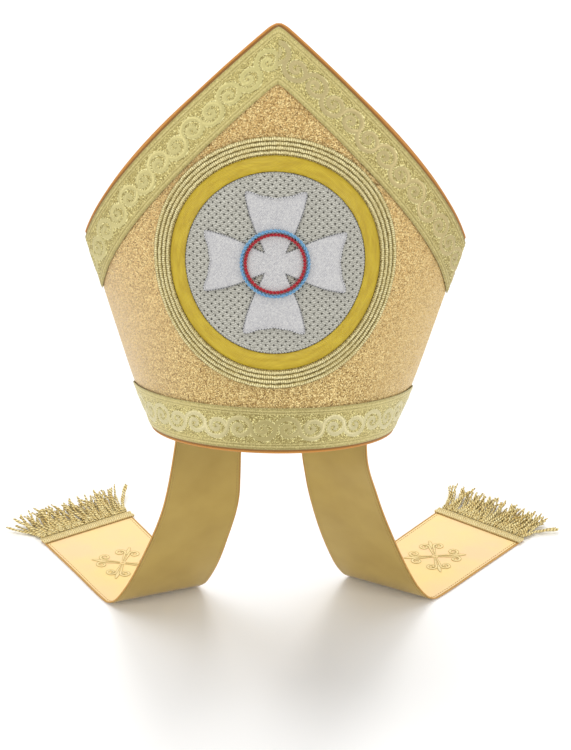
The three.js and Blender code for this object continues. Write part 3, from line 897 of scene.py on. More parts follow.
def panelLift(across, height):
    settings = panelSettings
    scale = settings["rippleScale"]
    wander = noise.noise(Vector((across * scale, height * scale, 3.1)))
    return hat["wall"] / 2 + settings["ripple"] * (wander - 0.6)


def panelChart(facing, u, v):
    along = 1 - abs(2 * u - 1) * (1 + panelSettings["pastCorner"] / archChord(facing))
    topAcross, topHeight = archPoint(facing, along, 0)
    height = topHeight * v
    half = sectionAt(min(height, hat["cornerHeight"]))[2]
    across = (1 if u >= 0.5 else -1) * topAcross * half / cornerAcross
    return across, height


def makePanel(facing, name):
    settings = panelSettings
    bm = bmesh.new()

    def place(u, v):
        across, height = panelChart(facing, u, v)
        return bend(across, height, panelLift(across, height), facing)

    gridOn(bm, settings["columns"], settings["rows"], place, partial(panelChart, facing))
    cutAtSeam(bm, facing)
    area = flatArea(bm)
    if facing > 0:
        bmesh.ops.reverse_faces(bm, faces=bm.faces[:])
    leanAll(bm)
    thicken(bm, settings["thickness"], 1)
    piece = keepPiece(bm, f"{name}PanelCloth", [finishes["lame"], finishes["lining"]], "brocade",
                      [f"{name}_panel"])
    piece["flatArea"] = area
    return piece


# woven braid: a ground with border lines, and a running scroll raised on it

braidSettings = {
    "lift": 2.3,  # of its upper face from the middle of the panel's wall
    "thickness": 0.85,
    "column": 3,  # from one column of the mesh to the next
    "bandPitch": 18.4,  # from one curl to the next
    "trimPitch": 19.6,
    "scrollReach": 8.0,  # outermost radius of one curl, to the ribbon's middle
    "scrollEnd": 0.7,
    "scrollTurns": 1.8,
    "scrollWidth": 4.0,
    "scrollInnerWidth": 2.9,
    "scrollDrawIn": 0.62,
    "scrollRise": 0.35,
    "outlineMargin": 0.42,
    "outlineRise": 0.16,
    "steps": 46,
    "bandStart": -172.6,
    "leftTrimStart": 25.2,  # run of the first curl, from the point down
    "rightTrimStart": 13.2,
    "trimFrom": -0.16,  # shares of the arch; what is past its ends is cut away
    "trimTo": 1.2,
    "mitreHalfGap": 0.03,
}
# across the braid: distance from its edge, and how far it stands up there
braidRelief = {
    "across": [0, 0.5, 1.8, 2.1, 2.9, 3.2, 4.1, 4.35, 4.75, 5.0, 7.5, 11.5, 16.2],
    "rise": [-0.45, -0.05, 0, 0.16, 0.16, 0, 0, 0.12, 0.12, 0, 0, 0, 0],
}


def braidRows():
    near = braidRelief["across"]
    return near + [hat["braidWidth"] - at for at in reversed(near[:-1])]


def braidRise(across):
    fromEdge = min(across, hat["braidWidth"] - across)
    places, rises = braidRelief["across"], braidRelief["rise"]
    i = min(max(bisect.bisect_left(places, fromEdge), 1), len(places) - 1)
    t = (fromEdge - places[i - 1]) / (places[i] - places[i - 1])
    return rises[i - 1] + (rises[i] - rises[i - 1]) * min(max(t, 0), 1)


def bandPoint(facing, run, across, lift):
    # run in millimetres from the middle of the band
    return bend(run, hat["edgeInset"] + across, lift, facing)


def trimPoint(facing, handed, run, across, lift):
    # run in millimetres down from the point of the hat
    flat = archPoint(facing, 1 - run / archChord(facing), hat["edgeInset"] + across)
    return bend(handed * flat[0], flat[1], lift, facing)


def finishBraid(bm, facing, handed, fill):
    cutAtSeam(bm, facing, fill)
    if handed:
        cutAway(bm, (handed * braidSettings["mitreHalfGap"], 0, 0), (-handed, 0, 0), fill)


def makeBraid(name, nodeName, facing, handed, start, end, strip):
    settings = braidSettings
    rows = braidRows()
    bm = bmesh.new()

    def chart(u, v):
        return start + (end - start) * u, rows[round(v * (len(rows) - 1))]

    def place(u, v):
        run, across = chart(u, v)
        return strip(run, across, settings["lift"] + braidRise(across))

    gridOn(bm, round((end - start) / settings["column"]), len(rows) - 1, place, chart)
    finishBraid(bm, facing, handed, False)
    leanAll(bm)
    faceTowards(bm, Vector((0, facing, 0)))
    thicken(bm, settings["thickness"])
    return keepPiece(bm, name, [finishes["trimGalloon" if handed else "bandGalloon"]], "braid",
                     [nodeName])


def scrollPath(middle, side, onward, pitch):
    # one curl: half way round the outside, then winding in to the centre
    settings = braidSettings
    path = []
    for i in range(settings["steps"] + 1):
        share = i / settings["steps"]
        turn = share * settings["scrollTurns"] * 2 * math.pi
        wound = max(turn - math.pi, 0) / (settings["scrollTurns"] * 2 * math.pi - math.pi)
        reach = pitch / 2
        reach += (settings["scrollEnd"] - reach) * wound ** settings["scrollDrawIn"]
        angle = math.pi - turn
        across = side * reach * math.sin(angle) * settings["scrollReach"] * 2 / pitch
        path.append((middle + onward * reach * math.cos(angle), across))
    return path


def scrollRibbon(bm, strip, path, margin, rise, material):
    settings = braidSettings
    centre = hat["braidWidth"] / 2
    last = len(path) - 1
    edges = []
    for i, (run, across) in enumerate(path):
        before, after = path[max(i - 1, 0)], path[min(i + 1, last)]
        away = Vector((after[0] - before[0], after[1] - before[1])).normalized()
        width = settings["scrollWidth"]
        width += (settings["scrollInnerWidth"] - width) * (i / last) ** 2
        edges.append((run, across, -away.y, away.x, width / 2 + margin))

    def place(u, v):
        run, across, sideRun, sideAcross, half = edges[round(u * last)]
        if u > 1 - 0.5 / last:
            half *= 0.3
        angle = 2 * math.pi * v
        reach = half * math.cos(angle)
        lift = settings["lift"] + max(math.sin(angle), -0.05) * rise
        return strip(run + sideRun * reach, centre + across + sideAcross * reach, lift)

    gridOn(bm, last, 8, place, lambda u, v: (u * 90, 8 * v), material)


def makeScroll(name, facing, handed, start, end, strip, firstMiddle, side, onward):
    settings = braidSettings
    bm = bmesh.new()
    middle = firstMiddle
    pitch = settings["trimPitch" if handed else "bandPitch"]
    while middle - pitch / 2 < end:
        path = scrollPath(middle, side, onward, pitch)
        if sum(start < run < end for run, _ in path) > 3:
            scrollRibbon(bm, strip, path, 0, settings["scrollRise"], 0)
            scrollRibbon(bm, strip, path, settings["outlineMargin"], settings["outlineRise"], 1)
        middle += pitch
        side = -side
    sealCords(bm)
    finishBraid(bm, facing, handed, True)
    leanAll(bm)
    ribbon = finishes["trimScroll" if handed else "bandScroll"]
    return keepPiece(bm, name, [ribbon, finishes["scrollEdge"]], "braid")


def braidAll(facing, name):
    settings = braidSettings
    half = sectionAt(hat["edgeInset"] + hat["braidWidth"])[2] + settings["column"]
    onBand = partial(bandPoint, facing)
    pieces = [
        makeBraid(f"{name}RimBraid", f"band_{name}", facing, 0, -half, half, onBand),
        makeScroll(f"{name}RimScroll", facing, 0, -half, half, onBand, settings["bandStart"],
                   1, 1),
    ]
    length = archChord(facing)
    start, end = settings["trimFrom"] * length, settings["trimTo"] * length
    for side, handed in (("Left", -1), ("Right", 1)):
        onTrim = partial(trimPoint, facing, handed)
        pieces.append(makeBraid(f"{name}{side}ArchBraid", f"trim_{name}_{side.lower()}", facing,
                                handed, start, end, onTrim))
        pieces.append(makeScroll(f"{name}{side}ArchScroll", facing, handed, start, end, onTrim,
                                 settings[f"{side.lower()}TrimStart"], -1, handed))
    return pieces


# piping

pipingSettings = {
    "archRadius": 1.1,
    "rimRadius": 1,
    "rimLift": 0.6,
    "pastCorner": 0.012,
    "bluntness": 0.75,
    "bluntOver": 0.03,  # share of the arch that is rounded over the point
    "flangeHalfWidth": 0.75,  # the lip of the piping, sewn under the braid
    "flangeRise": 0.3,
    "flangeInset": 0.25,
}


def makeArchPiping(facing, name):
    settings = pipingSettings
    radius = settings["archRadius"]
    bm = bmesh.new()

    def place(u, v):
        turn = 2 * math.pi * v
        handed = 1 if u >= 0.5 else -1
        along = 1 - abs(2 * u - 1) * (1 + settings["pastCorner"])
        onEdge, outside = archPoint(facing, along, 0), archPoint(facing, along, -1)
        # rounded over the point
        share = min(abs(2 * u - 1) / settings["bluntOver"], 1)
        sideways = handed * (outside[0] - onEdge[0]) * share
        rise = outside[1] - onEdge[1]
        rise += (settings["bluntness"] - rise) * (1 - share)
        end = 1 if 0 < u < 1 else 0.4
        reach = hat["gap"] + radius + radius * math.cos(turn) * end
        return bend(handed * onEdge[0] + sideways * reach, onEdge[1] + rise * reach,
                    hat["gap"] / 2 + radius * math.sin(turn) * end, facing)

    gridOn(bm, 240, 12, place, lambda u, v: (u * 480, 10 * v))
    sealCords(bm)
    cutAtSeam(bm, facing, True)
    leanAll(bm)
    return keepPiece(bm, f"{name}ArchPiping", [finishes["piping"]], "piping", [f"piping_{name}"])


def makeFlanges(facing, name):
    # the lip fills the gap between the cord and the braid, along the arch and the rim; the lip is
    # real, its dark colour is painted shade of the crease in the seam
    settings = pipingSettings
    bm = bmesh.new()

    def section(v):
        turn = 2 * math.pi * v
        rise = settings["flangeRise"]
        return (settings["flangeInset"] + settings["flangeHalfWidth"] * math.cos(turn),
                hat["wall"] / 2 + rise + rise * math.sin(turn))

    def onArch(u, v):
        inset, lift = section(v)
        across, height = archPoint(facing, 1 - abs(2 * u - 1), inset)
        return bend(across if u >= 0.5 else -across, height, lift, facing)

    def onRim(u, v):
        height, lift = section(v)
        return bend((2 * u - 1) * sectionAt(0)[2], height, lift, facing)

    for place in (onArch, onRim):
        gridOn(bm, 120, 8, place, lambda u, v: (u * 480, 5 * v))
    sealCords(bm)
    cutAtSeam(bm, facing, True)
    leanAll(bm)
    return keepPiece(bm, f"{name}PipingFlange", [finishes["shadedFlange"]], "piping")


def makeRimPiping():
    settings = pipingSettings
    radius, half = settings["rimRadius"], sectionAt(0)[2]
    bm = bmesh.new()

    def place(u, v):
        facing = -1 if u < 0.5 else 1
        across = (4 * (u % 0.5) - 1) * half * -facing
        turn = 2 * math.pi * v
        height = -hat["gap"] - radius + radius * math.cos(turn)
        return bend(across, height, settings["rimLift"] + radius * math.sin(turn), facing)

    gridOn(bm, 240, 10, place, lambda u, v: (u * 600, 9 * v))
    closeUp(bm)
    leanAll(bm)
    return keepPiece(bm, "rimPipingCord", [finishes["piping"]], "piping", ["rim_piping"])


# soft lining between the two points

liningSettings = {
    "valley": 124.7,
    "gap": 0.7,
    "belowEdge": 1.5,
    "cornerHalfWidth": 147.4,
    "reachAcross": 0.94,
    "steepness": 1.7,
    "thickness": 0.8,
    "folds": 40,
    "foldDepth": 1.1,
    "foldAt": 0.35,  # share of the way from the valley to a panel
    "foldSpread": 0.25,
    "flat": (0.32, 0.36),
}


def crownPoint(u, v):
    settings = liningSettings
    handed = 1 if u >= 0.5 else -1
    along = 1 - abs(2 * u - 1) * settings["reachAcross"]
    facing = -1 if v < 0.5 else 1
    edge = archPoint(facing, along, settings["belowEdge"])
    top = bend(handed * edge[0], edge[1], -hat["wall"] / 2 - settings["gap"], facing)
    share = min((top.x / settings["cornerHalfWidth"]) ** 2, 1)
    valley = settings["valley"] + (hat["cornerHeight"] - settings["valley"]) * share
    slide = abs(2 * v - 1)
    height = valley + (top.z - valley) * slide ** settings["steepness"] - settings["thickness"] / 2
    fold = math.sin(u * settings["folds"] + 2.2 * math.sin(v * 9))
    fold *= math.exp(-((slide - settings["foldAt"]) / settings["foldSpread"]) ** 2)
    return Vector((top.x, top.y * slide, height + settings["foldDepth"] * fold * (1 - share)))


def makeCrownLining():
    settings = liningSettings
    bm = bmesh.new()

    def chart(u, v):
        across, height = archPoint(-1, 1 - abs(2 * u - 1) * settings["reachAcross"], 0)
        return (1 if u >= 0.5 else -1) * across, (2 * v - 1) * (height - 100)

    gridOn(bm, 100, 60, crownPoint, chart)
    leanAll(bm)
    faceTowards(bm, upwards)
    area = sum(face.calc_area() for face in bm.faces)
    thicken(bm, settings["thickness"])
    piece = keepPiece(bm, "crownLiningCloth", [finishes["lining"]], "lining", ["crown_lining"])
    piece["flatArea"] = min(area, math.prod(settings["flat"]))
    return piece


# embroidered roundel

roundel = {
    "discRadius": 69.5,
    "yellow": (69.9, 82.3),
    "gold": (82.7, 96.5),
    "goldRidges": 4,
    "latticePitch": 4.25,
    "latticeHalfWidth": 1.5,
    "latticeHalfHeight": 0.32,
    "latticeWave": 0.22,
    "cordRed": (20.8, 23.5),
    "cordBlue": (23.8, 26.5),
    "cordWinds": 26,
    # how far each piece stands off the middle of the panel's wall
    "discLift": 2.1,
    "latticeLift": 2.35,
    "yellowLift": 2.0,
    "yellowRise": 0.9,
    "goldLift": 2.3,
    "goldRise": 1.0,
    "crossLift": 2.75,
    "crossRise": 1.0,
    "cordLift": 4.95,
    # rows of stitches: distance from one to the next, and length of one
    "crossStitch": (2.2, 1.1),
    "ringStitch": (2.4, 1.3),
}
# half an arm of the cross: degrees from its middle, and how far out its edge lies
crossShape = {
    "degrees": [0, 12, 23, 27, 32, 38, 45],
    "reach": [49, 52, 58.2, 47, 29, 15.6, 11],
}


def onRoundel(x, y, lift):
    return bend(x, hat["roundelHeight"] + y, lift, -1)


def onRoundelAt(turn, radius, lift):
    return onRoundel(radius * math.sin(turn), radius * math.cos(turn), lift)


def keepPolar(name, columns, rows, radiusAt, liftAt, thickness, finish, slot, node):
    # a padded disc or ring, turned round the middle of the roundel
    bm = bmesh.new()

    def place(u, v):
        turn = 2 * math.pi * u
        return onRoundelAt(turn, radiusAt(turn, v), liftAt(turn, v))

    def chart(u, v):
        return u * 2 * math.pi * max(radiusAt(0, 1), 1), radiusAt(2 * math.pi * u, v)

    gridOn(bm, columns, rows, place, chart)
    closeUp(bm)
    leanAll(bm)
    faceTowards(bm, Vector((0, -1, 0)))
    thicken(bm, thickness)
    return keepPiece(bm, name, [finish], slot, [node])


def makeDisc():
    def liftAt(turn, v):
        return roundel["discLift"] - 0.5 * (v > 0.99)

    return keepPolar("discGround", 120, 24, lambda turn, v: roundel["discRadius"] * v, liftAt,
                     0.5, finishes["silverGround"], "silver_thread", "emblem_disc")


def makeYellowRing():
    inner, outer = roundel["yellow"]

    def liftAt(turn, v):
        padding = math.sqrt(max(1 - (2 * v - 1) ** 4, 0))
        return roundel["yellowLift"] + roundel["yellowRise"] * padding

    return keepPolar("yellowRing", 180, 8, lambda turn, v: inner + (outer - inner) * v, liftAt,
                     0.6, finishes["yellow"], "yellow_satin", "emblem_ring_yellow")


def makeGoldRing():
    inner, outer = roundel["gold"]

    def liftAt(turn, v):
        # ridges of laid thread, each a little uneven round the ring
        share = (v * roundel["goldRidges"]) % 1
        uneven = noise.noise(Vector((math.sin(turn) * 70, math.cos(turn) * 70, v * 9)))
        ridge = roundel["goldRise"] * math.sqrt(max(1 - (2 * share - 1) ** 2, 0)) + 0.22 * uneven
        edge = min(v, 1 - v, 0.04) / 0.04
        return roundel["goldLift"] + ridge * edge

    return keepPolar("goldRing", 600, 40, lambda turn, v: inner + (outer - inner) * v, liftAt,
                     0.6, finishes["goldRing"], "gold_thread", "emblem_ring_gold")


def makeLattice():
    # two sets of silver cords, woven over and under at every crossing
    bm = bmesh.new()
    pitch, radius = roundel["latticePitch"], roundel["discRadius"] - 1.4
    slant = math.sqrt(0.5)
    count = int(radius // pitch)
    for direction in (0, 1):
        side = (-slant, slant) if direction else (slant, slant)
        for line in range(-count, count + 1):
            offset = line * pitch
            half = math.sqrt(radius**2 - offset**2)
            steps = max(4, round(2 * half / (pitch / 2)))
            centres = []
            for i in range(steps + 1):
                run = -half + 2 * half * i / steps
                over = math.cos(math.pi * (run / pitch + line + direction))
                x, y = (run, offset) if direction else (offset, run)
                centres.append((slant * (x - y), slant * (x + y),
                                roundel["latticeLift"] + roundel["latticeWave"] * over))

            def place(u, v):
                x, y, lift = centres[round(u * steps)]
                angle = 2 * math.pi * v
                reach = roundel["latticeHalfWidth"] * math.cos(angle)
                return onRoundel(x + side[0] * reach, y + side[1] * reach,
                                 lift + roundel["latticeHalfHeight"] * math.sin(angle))

            gridOn(bm, steps, 6, place, lambda u, v: (u * 2 * half, 4 * v))

    def onRim(u, v):
        angle = 2 * math.pi * v
        reach = roundel["discRadius"] - 1.2 + 1.1 * math.cos(angle)
        return onRoundelAt(2 * math.pi * u, reach, roundel["latticeLift"] + 0.5 * math.sin(angle))

    gridOn(bm, 240, 6, onRim, lambda u, v: (u * 430, 4 * v))
    sealCords(bm)
    leanAll(bm)
    return keepPiece(bm, "discLattice", [finishes["silver"]], "silver_thread")


def crossReach(turn):
    folded = abs((math.degrees(turn) + 45) % 90 - 45)
    return smoothRead(crossShape["degrees"], crossShape["reach"], folded)


def makeCross():
    def liftAt(turn, v):
        return roundel["crossLift"] + roundel["crossRise"] * math.sqrt(max(1 - v**4, 0))

    return keepPolar("crossPadded", 288, 14, lambda turn, v: crossReach(turn) * v, liftAt, 0.5,
                     finishes["white"], "white_satin", "emblem_cross")


def makeCrossOutline():
    # a raised edge cord, and grey stitches that hold it down
    bm = bmesh.new()
    steps = 720

    def onEdge(turn, out, lift):
        return onRoundelAt(turn, crossReach(turn) + out, lift)

    def place(u, v):
        angle = 2 * math.pi * v
        return onEdge(2 * math.pi * u, 0.75 * math.cos(angle), 3.0 + 0.6 * math.sin(angle))

    gridOn(bm, steps, 6, place, lambda u, v: (u * 380, 4 * v))
    turns = [2 * math.pi * i / steps for i in range(steps)]
    edge = [onEdge(turn, 0.25, 3.45) for turn in turns]
    rise = [onEdge(turn, 0, 4) - onEdge(turn, 0, 3) for turn in turns]
    stitchRow(bm, edge, rise, *roundel["crossStitch"], 0.42, 1)
    sealCords(bm)
    leanAll(bm)
    return keepPiece(bm, "crossOutline", [finishes["white"], finishes["grey"]], "silver_thread")


def makeRoundelStitches():
    # grey stitches round the disc, and a couching line beside the gold
    bm = bmesh.new()
    turns = [2 * math.pi * i / 360 for i in range(361)]
    for radius, lift, material in ((roundel["discRadius"] - 0.6, 2.6, 0),
                                   (roundel["yellow"][1] + 0.2, 2.75, 1)):
        ring = [onRoundelAt(turn, radius, lift) for turn in turns]
        rise = [onRoundelAt(turn, radius, lift + 1) - place for turn, place in zip(turns, ring)]
        stitchRow(bm, ring, rise, *roundel["ringStitch"], 0.4, material)
    sealCords(bm)
    leanAll(bm)
    return keepPiece(bm, "roundelStitches", [finishes["grey"], finishes["gold"]], "silver_thread")


def makeRope(name, inner, outer, finish, slot, node):
    # two plies laid round each other
    bm = bmesh.new()
    middle, radius = (inner + outer) / 2, (outer - inner) / 4
    for ply in range(2):
        def place(u, v, ply=ply):
            turn, angle = 2 * math.pi * u, 2 * math.pi * v
            wind = turn * roundel["cordWinds"] + math.pi * ply
            out = radius * (0.95 * math.cos(wind) + 1.05 * math.cos(angle))
            lift = radius * (0.95 * math.sin(wind) + 1.05 * math.sin(angle))
            return onRoundelAt(turn, middle + out, roundel["cordLift"] + lift)

        gridOn(bm, 300, 8, place, lambda u, v: (u * 2 * math.pi * middle, 4 * v))
    closeUp(bm)
    leanAll(bm)
    return keepPiece(bm, name, [finish], slot, [node])


# lappets: each row places the strip at a height above the floor, as the outer edge in plan,
# the turn of its width, that width, the dip of the inner edge, and the bow of its middle

lappetRows = {
    "left": {
        "above": [182, 126.5, 62.5, 13, 5, 0.9, 0.9, 0.9],
        "outX": [78.3, 87, 107.6, 129, 134.7, 141, 171, 202.6],
        "outY": [51, 53.3, 66, 86, 92.8, 101.3, 151.6, 204.1],
        "turn": [33, 26, 23, 23, 23, 23.5, 30, 35],
        "width": [61, 66, 74, 80, 81, 82, 85.5, 88.5],
        "dip": [7, 2, 0, 0, 0, 0, 0, 0],
        "bow": [4, 2, 0, 0, 0, 0, 0, 0],
    },
    "right": {
        "above": [174, 128.5, 76.7, 27.4, 12.1, 4.4, 0.9, 0.9, 0.9],
        "outX": [76.8, 87, 103.4, 123, 131.4, 137.5, 144, 184, 224.5],
        "outY": [51, 64, 80.2, 96.2, 103.5, 109, 115.5, 166, 218.5],
        "turn": [33, 30, 28, 28, 28, 28, 28, 33, 37],
        "width": [61, 66, 72, 77, 79, 80.5, 81.5, 85, 87],
        "dip": [6, 2, 0, 0, 0, 0, 0, 0, 0],
        "bow": [4, 2, 0, 0, 0, 0, 0, 0, 0],
    },
}
lappetSettings = {
    "sewnFrom": 91.5,
    "sewnTo": 30,
    "sewnLift": -2.55,
    "sewnHeights": [12, 2, -7],
    "sewnBow": 4.7,
    "thickness": 1.6,
    "sewnIn": 18,
    "pipingRadius": 0.65,
    "pipingRise": 0.4,
    "stitchIn": 1.9,
    "headingWidth": 8,
    "crossFromEnd": 74,
    "wave": 0.3,  # soft waves in the hanging part
    "waveOver": 170,
    "dent": 0.16,  # where the stitches draw the cloth in
    "dentWidth": 0.9,
    "clothThickness": 1.3,
    "columns": 170,
    "rows": 60,
}


def lappetStations(name):
    settings = lappetSettings
    handed = -1 if name == "left" else 1
    stations = []
    for height in settings["sewnHeights"]:
        outer, inner = (
            leant(bend(handed * across, height, settings["sewnLift"], 1)) * 1000
            for across in (settings["sewnFrom"], settings["sewnTo"])
        )
        stations.append((outer, inner, settings["sewnBow"]))
    rows = lappetRows[name]
    for i in range(len(rows["above"])):
        turn = math.radians(rows["turn"][i])
        height = studio["floorHeight"] * 1000 + rows["above"][i]
        outer = Vector((handed * rows["outX"][i], rows["outY"][i], height))
        inner = outer + Vector((-handed * math.cos(turn), math.sin(turn), 0)) * rows["width"][i]
        inner.z -= rows["dip"][i]
        stations.append((outer, inner, rows["bow"][i]))
    return handed, stations


class Lappet:
    # a lappet read by distance: along in millimetres from its top, across 0 outer to 1 inner
    def __init__(self, name):
        self.name = name
        self.handed, stations = lappetStations(name)
        self.places = [0.0]
        middles = [(outer + inner) / 2 for outer, inner, _ in stations]
        for before, after in zip(middles, middles[1:]):
            self.places.append(self.places[-1] + (after - before).length)
        self.length = self.places[-1]
        self.columns = [
            [outer[k] for outer, _, _ in stations] for k in range(3)
        ] + [[inner[k] for _, inner, _ in stations] for k in range(3)]
        self.bows = [bow for _, _, bow in stations]

    def edges(self, along):
        read = [smoothRead(self.places, column, along) for column in self.columns]
        return Vector(read[:3]), Vector(read[3:])

    def middle(self, along, across):
        outer, inner = self.edges(along)
        behind = Vector((inner.y - outer.y, outer.x - inner.x, 0)).normalized()
        bow = self.handed * smoothRead(self.places, self.bows, along) * 4 * across * (1 - across)
        return outer.lerp(inner, across) + behind * bow

    def place(self, along, across, lift):
        run = self.middle(min(along + 0.5, self.length), across)
        run -= self.middle(max(along - 0.5, 0), across)
        span = self.middle(along, across + 0.01) - self.middle(along, across - 0.01)
        normal = (run.cross(span) * self.handed).normalized()
        return self.middle(along, across) + normal * lift

    def width(self, along):
        outer, inner = self.edges(along)
        return (inner - outer).length

    def end(self):
        outer, inner = self.place(self.length, 0, 0), self.place(self.length, 1, 0)
        alongEnd = (inner - outer).normalized()
        onward = Vector((-alongEnd.y, alongEnd.x, 0)) * -self.handed
        return outer, alongEnd, onward, (inner - outer).length


def lappetName(lappet, part):
    return f"{lappet.name}Lappet{part}"


def lappetLift(lappet, along, across):
    # the upper face, with soft waves in the hanging part and a dent along the stitches
    settings = lappetSettings
    hang = math.sin(math.pi * min(along / settings["waveOver"], 1))
    wave = settings["wave"] * max(hang, 0) * math.sin(across * 7 + along * 0.03)
    fromEdge = min(across, 1 - across) * lappet.width(along)
    fromStitches = (fromEdge - settings["stitchIn"]) / settings["dentWidth"]
    dent = settings["dent"] * math.exp(-(fromStitches**2))
    return settings["thickness"] / 2 - 0.15 + wave - dent


def makeLappetCloth(lappet):
    settings = lappetSettings
    bm = bmesh.new()

    def place(u, v):
        along = u * lappet.length
        return lappet.place(along, v, lappetLift(lappet, along, v))

    def chart(u, v):
        return (v - 0.5) * lappet.width(u * lappet.length), u * lappet.length

    gridOn(bm, settings["columns"], settings["rows"], place, chart)
    area = flatArea(bm)
    toMetres(bm)
    faceTowards(bm, upwards, 0.95)
    thicken(bm, settings["clothThickness"], 1)
    piece = keepPiece(bm, lappetName(lappet, "Cloth"),
                      [finishes["lappet"], finishes["lappetLining"]], "lappet_cloth",
                      [f"lappet_{lappet.name}"])
    piece["flatArea"] = area
    return piece


def makeLappetPiping(lappet, across, part, node):
    settings = lappetSettings
    outwards = -1 if across == 0 else 1
    radius = settings["pipingRadius"]
    bm = bmesh.new()

    def place(u, v):
        turn = 2 * math.pi * v
        along = settings["sewnIn"] + (lappet.length - settings["sewnIn"]) * u
        reach = hat["gap"] + radius + radius * math.cos(turn)
        lift = radius * (settings["pipingRise"] + math.sin(turn))
        return lappet.place(along, across + outwards * reach / lappet.width(along), lift)

    gridOn(bm, 150, 10, place, lambda u, v: (u * lappet.length, 8 * v))
    sealCords(bm)
    toMetres(bm)
    return keepPiece(bm, lappetName(lappet, part), [finishes["lappetPiping"]], "piping",
                     [f"lappet_{lappet.name}_{node}"])


headingSettings = {
    "overhang": 2.5,  # past each edge of the lappet
    "above": 0.2,
    "thickness": 0.9,
    "zigzag": 3.4,  # millimetres from one turn to the next
    "zigzagReach": 4.6,
    "zigzagFrom": 1.7,
    "ridge": 0.7,
    "edgeCord": (0.75, 0.6),
    "stitch": (1.9, 1.6),  # from one to the next, and length of one
    "stitchRadius": 0.5,
}


def makeHeading(lappet):
    # narrow braid: a cord at each edge and two crossed zigzags between, sewn with brown thread
    settings = headingSettings
    outer, alongEnd, onward, width = lappet.end()
    bm = bmesh.new()
    overhang, ridge = settings["overhang"], settings["ridge"]
    length = width + 2 * overhang
    broad = lappetSettings["headingWidth"]
    low = lappetSettings["thickness"] / 2 + settings["above"]

    def at(sideways, across, lift):
        return (outer + alongEnd * (sideways - overhang) - onward * (broad - across)
                + upwards * (low + lift))

    def line(across, lift):
        return [at(length * i / 60, across, lift) for i in range(61)]

    def place(u, v):
        across = broad * v
        rise = 0.0
        for phase in (0, 0.5):
            share = abs((u * length / settings["zigzag"] + phase) % 1 * 2 - 1)
            zig = share * settings["zigzagReach"] + settings["zigzagFrom"]
            rise = max(rise, ridge * math.exp(-(((across - zig) / ridge) ** 2)))
        return at(u * length, across, 1.0 + rise - (ridge if v in (0, 1) else 0))

    gridOn(bm, 156, 24, place, lambda u, v: (u * length, v * broad))
    faceTowards(bm, upwards)
    bmesh.ops.solidify(bm, geom=bm.faces[:], thickness=settings["thickness"])
    for across in (0.7, broad - 0.7):
        cordOn(bm, line(across, 1.15), 6, ovalSkin(*settings["edgeCord"]))
    stitchRow(bm, line(-0.25, 0.25), [upwards] * 61, *settings["stitch"],
              settings["stitchRadius"], 1)
    sealCords(bm)
    toMetres(bm)
    return keepPiece(bm, lappetName(lappet, "Heading"),
                     [finishes["heading"], finishes["seamThread"]], "gold_thread",
                     [f"lappet_{lappet.name}_heading"])


stitchingSettings = {
    "above": 0.12,
    "below": -1.22,  # from the upper face, so that it lies on the lower one
    "pitch": 3.1,
    "length": 2.1,
    "radius": 0.28,
}


def makeStitching(lappet):
    # the line of stitches inside each long edge, on both faces of the cloth
    settings, cloth = stitchingSettings, lappetSettings
    bm = bmesh.new()
    count = 200
    start, stop = cloth["sewnIn"], lappet.length - cloth["headingWidth"] - 1
    places = [start + (stop - start) * i / count for i in range(count + 1)]
    for edge in (0, 1):
        for face, depth in ((-1, settings["below"]), (1, settings["above"])):
            line, rise = [], []
            for along in places:
                share = cloth["stitchIn"] / lappet.width(along)
                across = share if edge == 0 else 1 - share
                lift = lappetLift(lappet, along, across) + depth
                line.append(lappet.place(along, across, lift))
                rise.append((lappet.place(along, across, lift + 1) - line[-1]) * face)
            stitchRow(bm, line, rise, settings["pitch"], settings["length"], settings["radius"])
    sealCords(bm)
    toMetres(bm)
    return keepPiece(bm, lappetName(lappet, "Stitching"), [finishes["seamThread"]], "piping")


fringeSettings = {
    "length": 36,
    "long": 116,  # threads that lie out on the floor and lift at their tips
    "short": 60,  # short turned loops at the top
    "radius": (0.72, 0.98),
    "shortLength": (6.5, 10),
    "shortRadius": 0.72,
    "fan": 0.42,
    "stray": 0.26,
    "rise": (0.5, 11.5),
    "layers": (0.1, 1.2, 2.3),  # heights at which the threads leave the top cord
    "floorGap": 0.4,
    "steps": 12,
    "shortSteps": 6,
    "topCordRadii": (1.8, 1.2),
    "seeds": {"left": 5, "right": 9},
}


